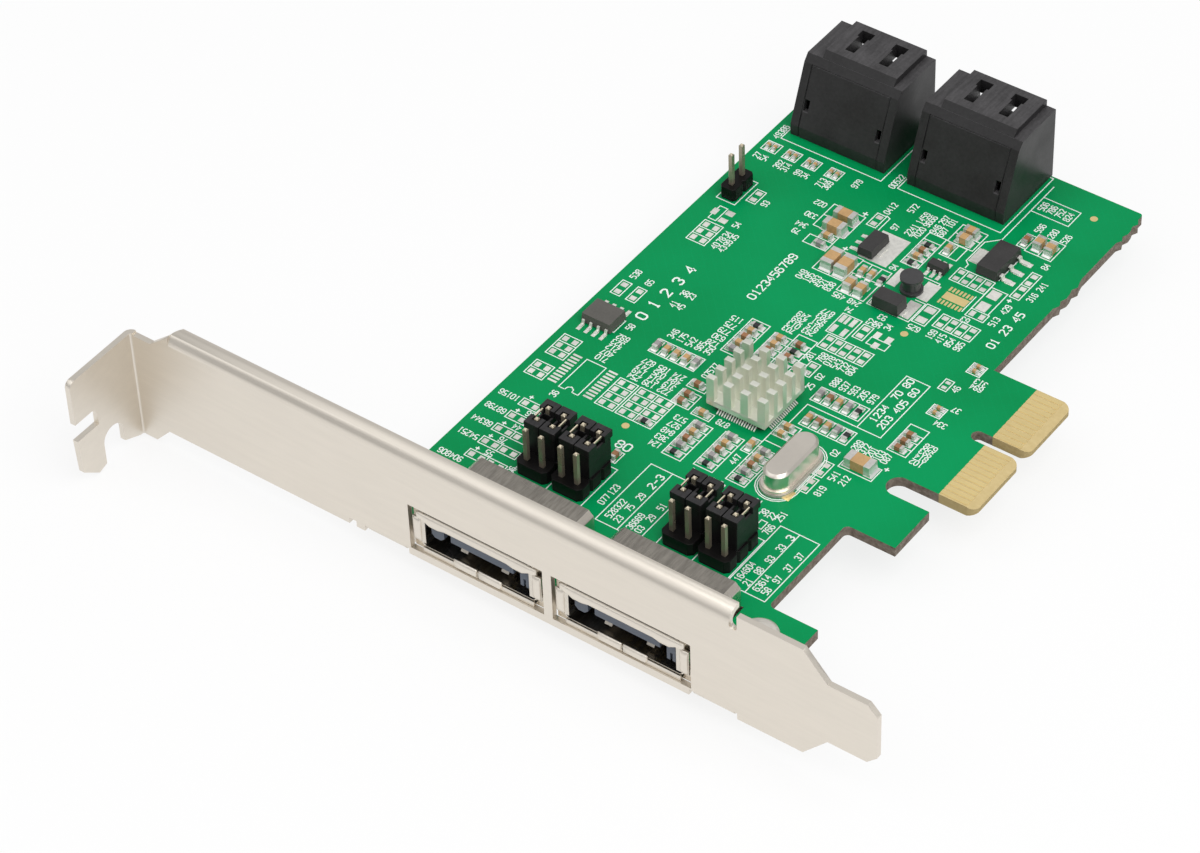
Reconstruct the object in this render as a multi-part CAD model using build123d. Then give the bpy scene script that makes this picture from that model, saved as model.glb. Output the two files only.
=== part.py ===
from build123d import *
import math
import os

os.makedirs("parts", exist_ok=True)

# A drive controller card for a computer's expansion slot, lying on its solder side.
# Sizes are in millimetres. While it is modelled, X runs along the bracket from its tab, Y from
# the bracket's outer face towards the far end of the board, and Z up from the plate's lower edge.

# Bracket: one folded sheet
sheet = 0.86
plate_length = 120.02
plate_height = 18.42
fold_inside = 0.3
tongue_width = 10.19
tongue_length = 7.3
shoulder_length = 3.7
tongue_chamfer = 1.5
flange_start = 7.6
flange_setback = 22.02
flange_radius = 2.0
flange_depth = 2.3
flange_slant = 1.7
relief_radius = 0.6
head_length = 3.3
head_slant = 2.5
head_drop = 2.75
head_cut = 3.2
tab_reach = 12.35
tab_top = 15.5
tab_corner = 1.0
hook_drop = 3.0
slot_low = 5.1
slot_height = 3.0
slot_depth = 4.3
notch_radius = 1.98
notch_centre = 5.62
notch_top = 2.9
lip_drop = 2.7
lip_rise = 0.2
lip_tip = 0.6
hook_reach = 9.2
hook_slope = 0.3
fold_step = 0.4
edge_notch_width = 1.2
edge_notch_depth = 1.0
edge_notch_place = 37.5
window_clearance = 0.45
window_low = 1.3
window_height = 7.85
lug_width = 6.2
lug_length = 12.8
lug_step_start = 3.0
lug_step_length = 2.0

# Circuit board
board_underside = 2.53
board_thickness = 1.57
board_gap = 0.54
board_left = 39.8
board_width = 53.6
board_depth = 106.45
board_corner = 0.5
ear_reach = 7.6
ear_width = 13.9
bay_width = 17.8
bay_fillet = 0.8
hook_width = 8.1
slot_notch_width = 3.5
finger_reach = 12.35
finger_corner = 1.3
finger_bevel = 1.3
finger_bevel_depth = 0.4
contact_pitch = 1.0
contacts_before_key = 11
contacts_after_key = 11
key_spacing = 1.5
key_width = 1.9
key_depth = 8.15
finger_margin_low = 0.68
finger_margin_high = 0.57
contact_width = 0.7
contact_root = 6.8
contact_foil = 0.05
remnant_reach = 0.5
remnant_pitch = 0.9
remnant_share = 0.55
remnant_swing = 0.45
remnant_phase = 2.3
remnant_places = [(84.0, 91.5), (100.5, 106.5)]

# Bracket screws
screw_radius = 1.5
screw_head_radius = 2.75
screw_head_height = 1.1
screw_clearance = 0.15
screw_setback = 8.8
screw_places = [43.2, 95.4]

# External ports, sunk into cut-outs of the board
port_first = 58.1
port_pitch = 23.1
port_count = 2
shell_sheet = 0.3
shell_width = 19.0
shell_low = 2.0
shell_height = 6.4
shell_length = 12.0
shell_corner = 0.8
shell_set_in = 0.2
port_cut_clearance = 0.25
frame_overhang = 0.9
frame_low = 1.5
frame_top = 8.55
wing_width = 1.7
wing_low = 3.1
wing_top = 7.3
frame_corner = 0.5
band_low = 7.0
band_end_low = 7.3
droop = 0.35
droop_start = 5.0
droop_slope = 1.1
droop_width = 1.4
lower_lip_half = 3.9
lower_lip_top = 2.9
seam_width = 0.2
latch_width = 1.0
latch_rise = 1.5
latch_setback = 2.6
latch_tip = 0.7
latch_run = 3.0
latch_places = [-3.3, 3.3]
leg_width = 0.7
leg_reach = 1.0
leg_depth = 1.0
leg_setback = 6.0
insulator_clearance = 0.05
insulator_depth = 4.0
blade_width = 10.2
blade_offset = 0.4
blade_thickness = 1.2
blade_low = 4.9
blade_setback = 0.85
post_inset = 1.3
post_width = 2.1
post_height = 2.3
guide_inset = 1.2
guide_width = 1.4
guide_low = 3.6
guide_top = 6.3
guide_groove = 0.35
signal_pitch = 1.27
signal_count = 7
contact_setback = 0.8
signal_sheet = 0.25
tail_width = 0.5
tail_depth = 1.0
tail_clearance = 0.1
port_tail_setback = 0.9

# Internal ports: two moulded stacks of two at the far edge
stack_first = 50.5
stack_pitch = 19.9
stack_count = 2
stack_width = 16.0
stack_depth = 13.1
stack_overhang = 0.25
stack_side_height = 12.0
stack_crown_height = 13.0
stack_crown_width = 12.0
stack_crown_offset = 0.5
stack_foot_height = 1.9
stack_slope_height = 10.9
stack_slope_depth = 3.5
stack_bevel_depth = 1.8
stack_wall = 1.3
chamber_back = 5.6
cavity_width = 13.2
cavity_height = 4.3
cavity_depth = 6.3
cavity_floor = 0.9
cavity_pitch = 5.4
tongue_blade_width = 10.4
tongue_blade_thickness = 1.23
tongue_blade_rise = 1.5
tongue_key_width = 1.2
tongue_key_rise = 1.1
tongue_setback = 0.6
cover_thickness = 0.9
cover_clearance = 0.05
snap_width = 0.8
snap_height = 1.7
snap_rise = 4.2
snap_inset = 0.15
latch_slot_places = [-2.5, 3.2]
latch_stem_width = 1.5
latch_stem_length = 3.6
latch_head_width = 2.1
latch_head_length = 1.4
latch_slot_margin = 1.3
latch_slot_depth = 0.5
peg_radius = 0.7
peg_clearance = 0.05
peg_depth = 1.1
peg_spacing = 11.0
peg_setback = 3.6
upper_tail_row = 3.9
lower_tail_row = 5.1

# Jumper headers, their pins and shunts
pin_pitch = 2.54
pin_width = 0.64
pin_rise = 7.5
pin_tail = 1.3
pin_tip = 0.16
header_height = 2.1
header_corner = 0.4
header_rows = 3
header_columns = 2
header_row_first = 18.0
header_places = [53.0, 58.7, 76.5, 82.2]
shunt_width = 2.4
shunt_length = 5.3
shunt_height = 5.3
shunt_wall_side = 0.45
shunt_wall_end = 0.5
shunt_collar = 1.2
shunt_step = 0.2
clip_sheet = 0.2
clip_width = 1.3
clip_low = 1.2
clip_top = 4.7
small_header_x = 43.3
small_header_first = 79.18
small_header_rows = 2

# Controller chip and its heatsink
chip_x = 70.5
chip_y = 45.6
chip_size = 8.2
chip_standoff = 0.1
chip_height = 0.9
chip_corner = 0.4
chip_lead_pitch = 0.4
chip_leads_per_side = 16
chip_lead_width = 0.18
chip_lead_sheet = 0.13
chip_lead_rise = 0.55
chip_lead_reach = 0.7
pad_thickness = 0.15
sink_size = 9.5
sink_base = 0.85
sink_columns = 4
sink_rows = 5
sink_column_pitch = 2.75
sink_row_pitch = 2.1
sink_pin_length = 1.25
sink_pin_width = 0.9
sink_pin_rise = 3.9

# Crystal
crystal_x = 81.9
crystal_y = 37.3
crystal_base_length = 11.2
crystal_base_width = 4.9
crystal_base_height = 0.5
crystal_flange_length = 10.8
crystal_flange_width = 4.5
crystal_flange_height = 0.35
crystal_can_length = 10.1
crystal_can_width = 3.8
crystal_can_height = 2.55
crystal_can_chamfer = 0.4

# Moulded chips with leads
flash_x = 43.9
flash_y = 47.6
flash_length = 4.9
flash_width = 3.9
flash_height = 1.5
flash_lead_width = 0.42
flash_lead_reach = 1.05
power_transistor_x = 66.15
power_transistor_y = 80.7
power_transistor_length = 4.6
power_transistor_width = 2.5
power_transistor_height = 1.5
power_transistor_pitch = 1.5
power_transistor_lead = 1.1
power_transistor_lead_width = 0.45
regulator_x = 82.4
regulator_y = 87.5
regulator_length = 6.5
regulator_width = 3.5
regulator_height = 1.6
regulator_pitch = 2.3
regulator_lead_width = 0.72
regulator_lead_reach = 1.75
regulator_tab_width = 3.0
converter_x = 76.0
converter_y = 82.0
converter_length = 2.9
converter_width = 1.6
converter_height = 1.1
converter_pitch = 0.95
converter_lead_width = 0.4
converter_lead_reach = 0.6
moulded_lead_sheet = 0.2
moulded_draft = 0.12
lead_slope = 0.15
inductor_x = 75.3
inductor_y = 76.4
inductor_radius = 1.65
inductor_height = 2.6
inductor_waist = 0.35
inductor_flange = 0.5
diode_x = 74.7
diode_y = 71.7
diode_length = 4.3
diode_width = 2.6
diode_height = 2.1
diode_end_length = 0.4
diode_end_width = 1.45

# Chip parts: length, width and height of each kind, then where they sit.
# A bank is the first centre, the step to the next, the long axis and one letter for each part:
# c pale capacitor, s tiny pale capacitor, b brown capacitor, r resistor, f ferrite, and a dot for
# an empty place.
small_chip = (1.6, 0.8, 0.75)
small_resistor = (1.6, 0.8, 0.45)
tiny_chip = (1.0, 0.5, 0.5)
chip_banks = [
    (53.1, 47.4, 1.6, 0.0, "Y", "fcccf"),
    (62.2, 40.1, 0.0, 1.6, "X", "bb"),
    (62.2, 44.0, 0.0, 1.6, "X", "b"),
    (65.9, 39.8, 0.0, 1.6, "X", "c"),
    (67.0, 31.6, 0.0, 1.48, "X", "rfbcf"),
    (71.8, 32.2, 0.0, 1.48, "X", "rfbcf"),
    (77.0, 32.2, 0.0, 1.5, "X", "rfbcf"),
    (76.9, 42.3, 0.0, 1.6, "X", "cc"),
    (62.0, 52.5, 0.0, 1.45, "X", "fcbcr"),
    (66.1, 53.5, 0.0, 1.45, "X", "fbcc"),
    (69.1, 53.8, 0.0, 1.45, "X", "bbrb"),
    (71.8, 54.2, 0.0, 1.45, "X", "c."),
    (76.9, 51.7, 1.5, 0.0, "Y", "fbcfr"),
    (78.2, 47.0, 1.5, 0.0, "Y", "cbcfr"),
    (91.2, 48.8, 0.0, 1.45, "X", "bbb."),
    (91.45, 57.3, 0.0, 1.05, "X", "ss"),
    (91.45, 67.15, 0.0, 1.05, "X", "ss"),
    (75.1, 29.9, 0.0, 1.6, "X", "r"),
    (72.2, 81.0, 0.0, 1.45, "X", "rcbr."),
    (75.0, 86.35, 1.4, 0.0, "Y", "c."),
    (67.7, 75.7, 1.5, 0.0, "Y", "cc"),
    (70.9, 75.7, 1.5, 0.0, "Y", "r"),
    (82.95, 93.9, 1.5, 0.0, "Y", "b"),
    (59.5, 79.1, 0.0, 1.6, "X", "c"),
    (59.6, 77.1, 0.0, 1.6, "X", "f"),
    (41.5, 91.0, 1.05, 0.0, "Y", "ss"),
    (45.0, 91.0, 1.05, 0.0, "Y", "ss"),
    (48.4, 91.0, 1.05, 0.0, "Y", "ss"),
    (52.2, 91.0, 1.05, 0.0, "Y", "ss"),
    (74.75, 38.45, 1.5, 0.0, "Y", "c"),
    (61.05, 26.6, 1.5, 0.0, "Y", "b"),
    (60.35, 34.25, 0.0, 1.5, "X", "r"),
]
large_chips = [
    (59.6, 83.6, 3.2, 1.6, 1.5), (59.6, 80.9, 3.2, 1.6, 1.5),
    (75.9, 90.7, 2.0, 1.25, 1.2), (75.9, 88.9, 2.0, 1.25, 1.2),
    (89.0, 43.1, 4.0, 2.0, 1.6),
    (63.1, 75.0, 1.8, 3.4, 1.5), (65.4, 74.9, 1.8, 3.4, 1.5),
    (67.9, 72.2, 1.25, 2.1, 1.2), (69.8, 72.1, 1.25, 2.1, 1.2),
    (85.0, 94.0, 1.25, 2.0, 1.2), (86.9, 93.8, 1.25, 2.0, 1.2),
]

# Places that follow from the sizes above
board_top = board_underside + board_thickness
board_front = sheet + board_gap
board_rear = board_front + board_depth
board_right = board_left + board_width
ear_end = board_front + ear_width
bay_end = ear_end + bay_width
hook_end = bay_end + hook_width
finger_start = hook_end + slot_notch_width
first_contact = finger_start + finger_margin_low
key_centre = first_contact + (contacts_before_key - 1) * contact_pitch + key_spacing
second_contact = key_centre + key_spacing
finger_end = second_contact + (contacts_after_key - 1) * contact_pitch + finger_margin_high
finger_tip = board_right + finger_reach
flange_end = plate_length - flange_setback
frame_width = shell_width + 2 * frame_overhang
window_width = frame_width + 2 * window_clearance
shell_front = sheet + shell_set_in
shell_rear = shell_front + shell_length
port_tail_y = shell_rear + port_tail_setback
stack_mouth = board_rear + stack_overhang
stack_front = stack_mouth - stack_depth
stack_chamber = stack_front + chamber_back
port_places = [port_first + i * port_pitch for i in range(port_count)]
stack_places = [stack_first + i * stack_pitch for i in range(stack_count)]
signal_places = [(i - (signal_count - 1) / 2) * signal_pitch for i in range(signal_count)]
header_columns_x = [x + i * pin_pitch for x in header_places for i in range(header_columns)]
header_rows_y = [header_row_first + i * pin_pitch for i in range(header_rows)]
small_rows_y = [small_header_first + i * pin_pitch for i in range(small_header_rows)]
screw_y = board_front + screw_setback
cut = 1.0


def block(x0, x1, y0, y1, z0, z1):
    """A rectangular solid between two opposite corners."""
    middle = Pos((x0 + x1) / 2, (y0 + y1) / 2, (z0 + z1) / 2)
    return middle * Box(x1 - x0, y1 - y0, z1 - z0)


def area(u0, u1, v0, v1):
    """A flat rectangle between two opposite corners."""
    return Pos((u0 + u1) / 2, (v0 + v1) / 2) * Rectangle(u1 - u0, v1 - v0)


def prism_x(outline, x0, x1):
    """A prism along X from an outline in Y and Z."""
    return extrude(Plane.YZ.offset(x0) * outline, amount=x1 - x0, dir=(1, 0, 0))


def prism_y(outline, y0, y1):
    """A prism along Y from an outline in X and Z."""
    return extrude(Plane.XZ.offset(-y0) * outline, amount=y1 - y0, dir=(0, 1, 0))


def prism_z(outline, z0, z1):
    """A prism along Z from an outline in X and Y."""
    return extrude(Pos(0, 0, z0) * outline, amount=z1 - z0, dir=(0, 0, 1))


def shape_of(points):
    """A flat face with these corners."""
    return Polygon(*points, align=None)


def strip_of(path, thickness):
    """The outline of a folded strip that lies on the left of a path."""
    turns = [math.atan2(b[1] - a[1], b[0] - a[0]) for a, b in zip(path, path[1:])]
    turns = [turns[0]] + turns + [turns[-1]]
    far_side = []
    for (u, v), before, after in zip(path, turns, turns[1:]):
        bend = (after - before + math.pi) % (2 * math.pi) - math.pi
        middle = before + bend / 2
        reach = thickness / math.cos(bend / 2)
        far_side.append((u - reach * math.sin(middle), v + reach * math.cos(middle)))
    return shape_of(path + far_side[::-1])


def rounded(outline, places, radius):
    """An outline with the corners at these places rounded."""
    chosen = [min(outline.vertices(), key=lambda v: math.dist((v.X, v.Y), p)) for p in places]
    return fillet(ShapeList(chosen), radius)


def save(name, shape):
    """Write one node, moved so that the origin is at the middle of the whole card's base."""
    items = shape if isinstance(shape, list) else [shape]
    solids = [solid for item in items for solid in item.solids()]
    whole = solids[0] if len(solids) == 1 else Compound(solids)
    centre_y = (stack_mouth - tab_reach) / 2
    export_step(Pos(-plate_length / 2, -centre_y, hook_drop) * whole, "parts/" + name + ".step")


def tab_outline():
    """The tab seen along X, with its hold-down slot, screw notch and hook."""
    tip = -tab_reach
    notch_left = -notch_centre - notch_radius
    notch_right = -notch_centre + notch_radius
    outline = shape_of([
        (sheet, -head_drop), (-lip_tip, -lip_drop), (notch_right, -lip_drop / 2),
        (notch_right, notch_top - notch_radius), (notch_left, notch_top - notch_radius),
        (notch_left, lip_rise - lip_drop), (-hook_reach, -hook_drop),
        (hook_slope - tab_reach, -hook_drop / 4), (tip, slot_low), (tip, tab_top), (sheet, tab_top),
    ])
    outline = rounded(outline, [(tip, tab_top)], tab_corner)
    outline -= Pos(-notch_centre, notch_top - notch_radius) * Circle(notch_radius)
    slot = area(tip - cut, tip + slot_depth, slot_low, slot_low + slot_height)
    return outline - rounded(slot, [(tip + slot_depth, slot_low + slot_height)], tab_corner)


def plate_outline(fold_end):
    """The plate seen along Y, without the windows and the folded top."""
    shoulder = plate_length - tongue_length - shoulder_length
    tongue_root = plate_length - tongue_length
    low = (plate_height - tongue_width) / 2
    high = plate_height - low
    flat_top = plate_height - flange_radius
    outline = shape_of([
        (fold_end, -head_drop), (head_length, -head_drop), (head_length + head_slant, 0),
        (shoulder, 0), (tongue_root, low), (plate_length - tongue_chamfer, low),
        (plate_length, low + tongue_chamfer), (plate_length, high - tongue_chamfer),
        (plate_length - tongue_chamfer, high), (tongue_root, high), (shoulder, plate_height),
        (flange_end + 2 * relief_radius, plate_height), (flange_end + 2 * relief_radius, flat_top),
        (flange_start, flat_top), (flange_start, plate_height - fold_step),
        (head_length + cut, plate_height - head_cut), (fold_end, plate_height - head_cut),
    ])
    relief = Pos(flange_end + relief_radius, flat_top) * Circle(relief_radius)
    notch = Pos(edge_notch_place, 0) * Rectangle(edge_notch_width, 2 * edge_notch_depth)
    return outline - relief - notch


def lug(x):
    """One screw lug: bent from the lower edge, stepped up to the underside of the board."""
    step_end = lug_step_start + lug_step_length
    rise = board_underside - sheet
    end = sheet + lug_length
    outer = sheet + fold_inside
    section = strip_of([
        (0, board_underside), (0, 0), (lug_step_start, 0), (step_end, rise), (end, rise),
    ], sheet)
    section = rounded(section, [(0, 0)], outer)
    section = rounded(section, [(sheet, sheet)], fold_inside)
    body = prism_x(section, x - lug_width / 2, x + lug_width / 2)
    corners = body.edges().filter_by(Axis.Z).group_by(Axis.Y)[-1]
    body = chamfer(corners, lug_width / 4)
    return body - Pos(x, screw_y, rise) * Cylinder(screw_radius, 4 * sheet)


def make_bracket():
    fold_end = sheet + fold_inside
    corner = shape_of([
        (0, -tab_reach), (sheet, -tab_reach), (sheet, 0), (plate_length, 0),
        (plate_length, sheet), (0, sheet),
    ])
    corner = rounded(corner, [(sheet, 0)], fold_inside)
    corner = rounded(corner, [(0, sheet)], fold_end)
    folded = prism_z(corner, -hook_drop, plate_height)
    tab = prism_x(tab_outline(), -cut, fold_end)
    plate = prism_y(plate_outline(fold_end), -fold_inside, sheet)
    body = folded & (tab + plate)
    for x in port_places:
        opening = area(x - window_width / 2, x + window_width / 2, window_low, window_low + window_height)
        body -= prism_y(opening, -cut, sheet + cut)
    foot = plate_height - flange_radius - sheet
    flange = shape_of([
        (0, foot), (sheet, foot),
        (sheet, plate_height - sheet), (flange_depth, plate_height - sheet),
        (flange_depth, plate_height), (0, plate_height),
    ])
    flange = rounded(flange, [(0, plate_height)], flange_radius)
    flange = rounded(flange, [(sheet, plate_height - sheet)], flange_radius - sheet)
    slant = shape_of([
        (flange_start - cut, sheet), (flange_start, sheet),
        (flange_start + flange_slant, flange_depth + cut), (flange_start - cut, flange_depth + cut),
    ])
    strip = prism_x(flange, flange_start, flange_end)
    strip -= prism_z(slant, plate_height - 2 * flange_radius, plate_height + cut)
    body += strip
    for x in screw_places:
        clear = edge_notch_width / 2
        low = area(x - lug_width / 2 - clear, x + lug_width / 2 + clear, -cut, edge_notch_depth)
        body -= prism_y(low, -cut, sheet + cut)
        root = area(x - lug_width / 2, x + lug_width / 2, -cut, board_underside)
        body -= prism_y(root, -cut, sheet)
        body += lug(x)
    return body


def finger_block():
    """The plug-in edge: two tongues with a key slot between them, their corners rounded."""
    outline = area(board_right - cut, finger_tip, finger_start, finger_end)
    slot_end = finger_tip - key_depth + key_width / 2
    key = area(slot_end, finger_tip + cut, key_centre - key_width / 2, key_centre + key_width / 2)
    outline -= key
    outline -= Pos(slot_end, key_centre) * Circle(key_width / 2)
    tips = [(finger_tip, y) for y in (
        finger_start, key_centre - key_width / 2, key_centre + key_width / 2, finger_end)]
    return rounded(outline, tips, finger_corner)


def remnant(y0, y1):
    """Rough laminate left where a break-off tab was snapped away."""
    steps = round((y1 - y0) / remnant_pitch)
    edge = []
    for i in range(1, steps):
        share = remnant_share + remnant_swing * math.sin(remnant_phase * i)
        edge.append((board_right + remnant_reach * share, y0 + i * (y1 - y0) / steps))
    inner = board_right - cut
    return shape_of([(inner, y0), (board_right, y0)] + edge + [(board_right, y1), (inner, y1)])


def board_outline():
    ear = board_right + ear_reach
    outline = area(board_left, board_right, board_front, board_rear)
    outline += area(board_right - cut, ear, board_front, ear_end)
    outline += area(board_right - cut, ear, bay_end, hook_end)
    outline = rounded(outline, [(board_right, ear_end), (board_right, bay_end)], bay_fillet)
    outline = rounded(outline, [(board_right, board_rear)], board_corner)
    outline += finger_block()
    outline -= Pos(board_right + slot_notch_width / 2, hook_end + slot_notch_width / 2) * Circle(
        slot_notch_width / 2)
    for y0, y1 in remnant_places:
        outline += remnant(y0, y1)
    return outline


def clearance_hole(x, y, width, depth):
    """A small hole, four-sided to keep its faces few, that clears the tail passing through it."""
    return Pos(x, y) * Rectangle(width + 2 * tail_clearance, depth + 2 * tail_clearance)


def peg_outline(x, y, radius):
    """A locating peg or its hole, eight-sided to keep its faces few."""
    return Pos(x, y) * RegularPolygon(radius, 8)


def board_holes():
    """Every drilled hole: screws, header pins, port tails and legs, stack tails and pegs."""
    pins = [(x, y) for x in header_columns_x for y in header_rows_y]
    pins += [(small_header_x, y) for y in small_rows_y]
    holes = [Pos(x, screw_y) * Circle(screw_radius + screw_clearance) for x in screw_places]
    holes += [clearance_hole(x, y, pin_width, pin_width) for x, y in pins]
    leg_x = shell_width / 2 + leg_reach - shell_sheet / 2
    for x in port_places:
        holes += [clearance_hole(x + s, port_tail_y, tail_width, signal_sheet) for s in signal_places]
        holes += [clearance_hole(x + side * leg_x, shell_front + leg_setback, shell_sheet, leg_width)
                  for side in (-1, 1)]
    for x in stack_places:
        for row in (upper_tail_row, lower_tail_row):
            y = stack_front + row - signal_sheet / 2
            holes += [clearance_hole(x + s, y, tail_width, signal_sheet) for s in signal_places]
        for side in (-1, 1):
            peg_y = stack_mouth - peg_setback
            holes.append(peg_outline(x + side * peg_spacing / 2, peg_y, peg_radius + peg_clearance))
    return holes


def make_board():
    outline = board_outline()
    for x in port_places:
        half = shell_width / 2 + port_cut_clearance
        outline -= area(x - half, x + half, board_front - cut, shell_rear + port_cut_clearance)
    outline -= board_holes()
    board = prism_z(outline, board_underside, board_top)
    for face, inward in ((board_top, -1), (board_underside, 1)):
        wedge = shape_of([
            (finger_tip - finger_bevel, face), (finger_tip, face + inward * finger_bevel_depth),
            (finger_tip + cut, face + inward * finger_bevel_depth), (finger_tip + cut, face - inward * cut),
            (finger_tip - finger_bevel, face - inward * cut),
        ])
        board -= prism_y(wedge, finger_start - cut, finger_end + cut)
    return board


def make_edge_contacts():
    """Gold pads on both faces of the plug-in edge."""
    start = finger_tip - finger_bevel
    places = [first_contact + i * contact_pitch for i in range(contacts_before_key)]
    places += [second_contact + i * contact_pitch for i in range(contacts_after_key)]
    pads = []
    for y in places:
        for low in (board_top, board_underside - contact_foil):
            pads.append(block(board_right + contact_root, start,
                              y - contact_width / 2, y + contact_width / 2, low, low + contact_foil))
    return pads


def make_screw(x):
    """A pan-head screw through the board into its lug."""
    low = board_underside - sheet
    shank = Pos(x, screw_y, (low + board_top) / 2) * Cylinder(screw_radius, board_top - low)
    middle = board_top + screw_head_height / 2
    return shank + Pos(x, screw_y, middle) * Cylinder(screw_head_radius, screw_head_height)


def port_frame(x):
    """The folded front rim of a port: a top band with drooping ends, two wings and a split lower lip."""
    half = frame_width / 2
    inner = half - wing_width
    droop_end = droop_start + droop_slope + droop_width
    lower_edge = [
        (inner, band_end_low), (droop_end, band_low - droop), (droop_start + droop_slope, band_low - droop),
        (droop_start, band_low),
    ]
    right = [(x + u, z) for u, z in lower_edge]
    left = [(x - u, z) for u, z in lower_edge[::-1]]
    top = [(x - inner, frame_top - frame_corner), (x - inner + frame_corner, frame_top),
           (x + inner - frame_corner, frame_top), (x + inner, frame_top - frame_corner)]
    rim = shape_of(top + right + left)
    for side in (-1, 1):
        near = x + side * (inner - shell_sheet)
        far = x + side * half
        rim += area(min(near, far), max(near, far), wing_low, wing_top)
        near = x + side * seam_width / 2
        far = x + side * lower_lip_half
        rim += area(min(near, far), max(near, far), frame_low, lower_lip_top)
    return rim


def cornered(x, width, height, corner):
    """A port's cross-section, centred in its shell, with cut corners."""
    return Pos(x, shell_low + shell_height / 2) * chamfer(Rectangle(width, height).vertices(), corner)


def make_shell(x):
    """A port's folded metal shell with its front rim, latch springs and two legs."""
    half = shell_width / 2
    outside = cornered(x, shell_width, shell_height, shell_corner)
    inside = cornered(x, shell_width - 2 * shell_sheet, shell_height - 2 * shell_sheet,
                      shell_corner - shell_sheet)
    body = prism_y(outside - inside, sheet - shell_sheet, shell_rear)
    body += prism_y(port_frame(x), sheet - 2 * shell_sheet, sheet - shell_sheet)
    for place in latch_places:
        spring = strip_of([
            (latch_setback - latch_tip, shell_low + latch_rise), (latch_setback, shell_low + latch_rise),
            (latch_setback + latch_run, shell_low)], shell_sheet)
        body += prism_x(spring, x + place - latch_width / 2, x + place + latch_width / 2)
    for side in (-1, 1):
        root = x + side * (half - shell_sheet)
        tip = x + side * (half + leg_reach)
        leg_y = shell_front + leg_setback
        ledge = area(min(root, tip), max(root, tip), board_top, board_top + shell_sheet)
        body += prism_y(ledge, leg_y - leg_width, leg_y + leg_width)
        inner = tip - side * shell_sheet
        drop = area(min(inner, tip), max(inner, tip), board_underside - leg_depth, board_top + shell_sheet)
        body += prism_y(drop, leg_y - leg_width / 2, leg_y + leg_width / 2)
    return body


def port_contacts(x):
    """Seven bent strips: along the underside of the blade, out of the back and down into the board."""
    under = blade_low - signal_sheet
    bend = port_tail_y + signal_sheet / 2
    strips = []
    for place in signal_places:
        along = area(blade_setback + contact_setback, bend, under, under + signal_sheet)
        down = area(bend - signal_sheet, bend, board_underside - tail_depth, under)
        strips.append(prism_x(along + down, x + place - tail_width / 2, x + place + tail_width / 2))
    return strips


def make_port_insulator(x, contacts):
    """The moulded insert: a rear block, the flat tongue, a round post on its left and a grooved guide."""
    half = shell_width / 2 - shell_sheet - insulator_clearance
    height = shell_height - 2 * (shell_sheet + insulator_clearance)
    root = shell_rear - insulator_depth
    body = prism_y(cornered(x, 2 * half, height, shell_corner - shell_sheet), root, shell_rear)
    middle = x + blade_offset
    blade_top = blade_low + blade_thickness
    blade = area(middle - blade_width / 2, middle + blade_width / 2, blade_low, blade_top)
    post_x = x - half + post_inset + post_width / 2
    blade += Pos(post_x, blade_low + blade_thickness / 2) * chamfer(
        Rectangle(post_width, post_height).vertices(), post_width / 4)
    right = x + half - guide_inset
    guide = area(right - guide_width, right, guide_low, guide_top)
    groove_x = right - guide_width / 2
    guide -= area(groove_x - guide_groove / 2, groove_x + guide_groove / 2, guide_low - cut, blade_low)
    body += prism_y(blade + guide, blade_setback, root)
    return body - contacts


def stack_profile(top, bevel):
    """A stack seen from the side: upright foot, sloped front, bevel and flat roof."""
    return shape_of([
        (stack_front, board_top), (stack_mouth, board_top), (stack_mouth, board_top + top),
        (stack_front + stack_slope_depth + bevel, board_top + top),
        (stack_front + stack_slope_depth, board_top + stack_slope_height),
        (stack_front, board_top + stack_foot_height),
    ])


def stack_contacts(x, port):
    """Seven contacts of one port: along the tongue, through the wall and down into the board."""
    row = stack_front + (lower_tail_row, upper_tail_row)[port]
    level = board_top + cavity_floor + port * cavity_pitch + tongue_blade_rise - signal_sheet
    start = stack_mouth - tongue_setback - contact_setback
    strips = []
    for place in signal_places:
        along = area(row - signal_sheet, start, level, level + signal_sheet)
        down = area(row - signal_sheet, row, board_underside - tail_depth, level)
        strips.append(prism_x(along + down, x + place - tail_width / 2, x + place + tail_width / 2))
    return strips


def latch_slot(x):
    """A T-shaped opening in the roof for a locking plug."""
    head_start = stack_mouth - latch_slot_margin - latch_head_length
    stem = latch_stem_width / 2
    head = latch_head_width / 2
    slot = area(x - stem, x + stem, head_start - latch_stem_length, head_start)
    slot += area(x - head, x + head, head_start, head_start + latch_head_length)
    return slot


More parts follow.
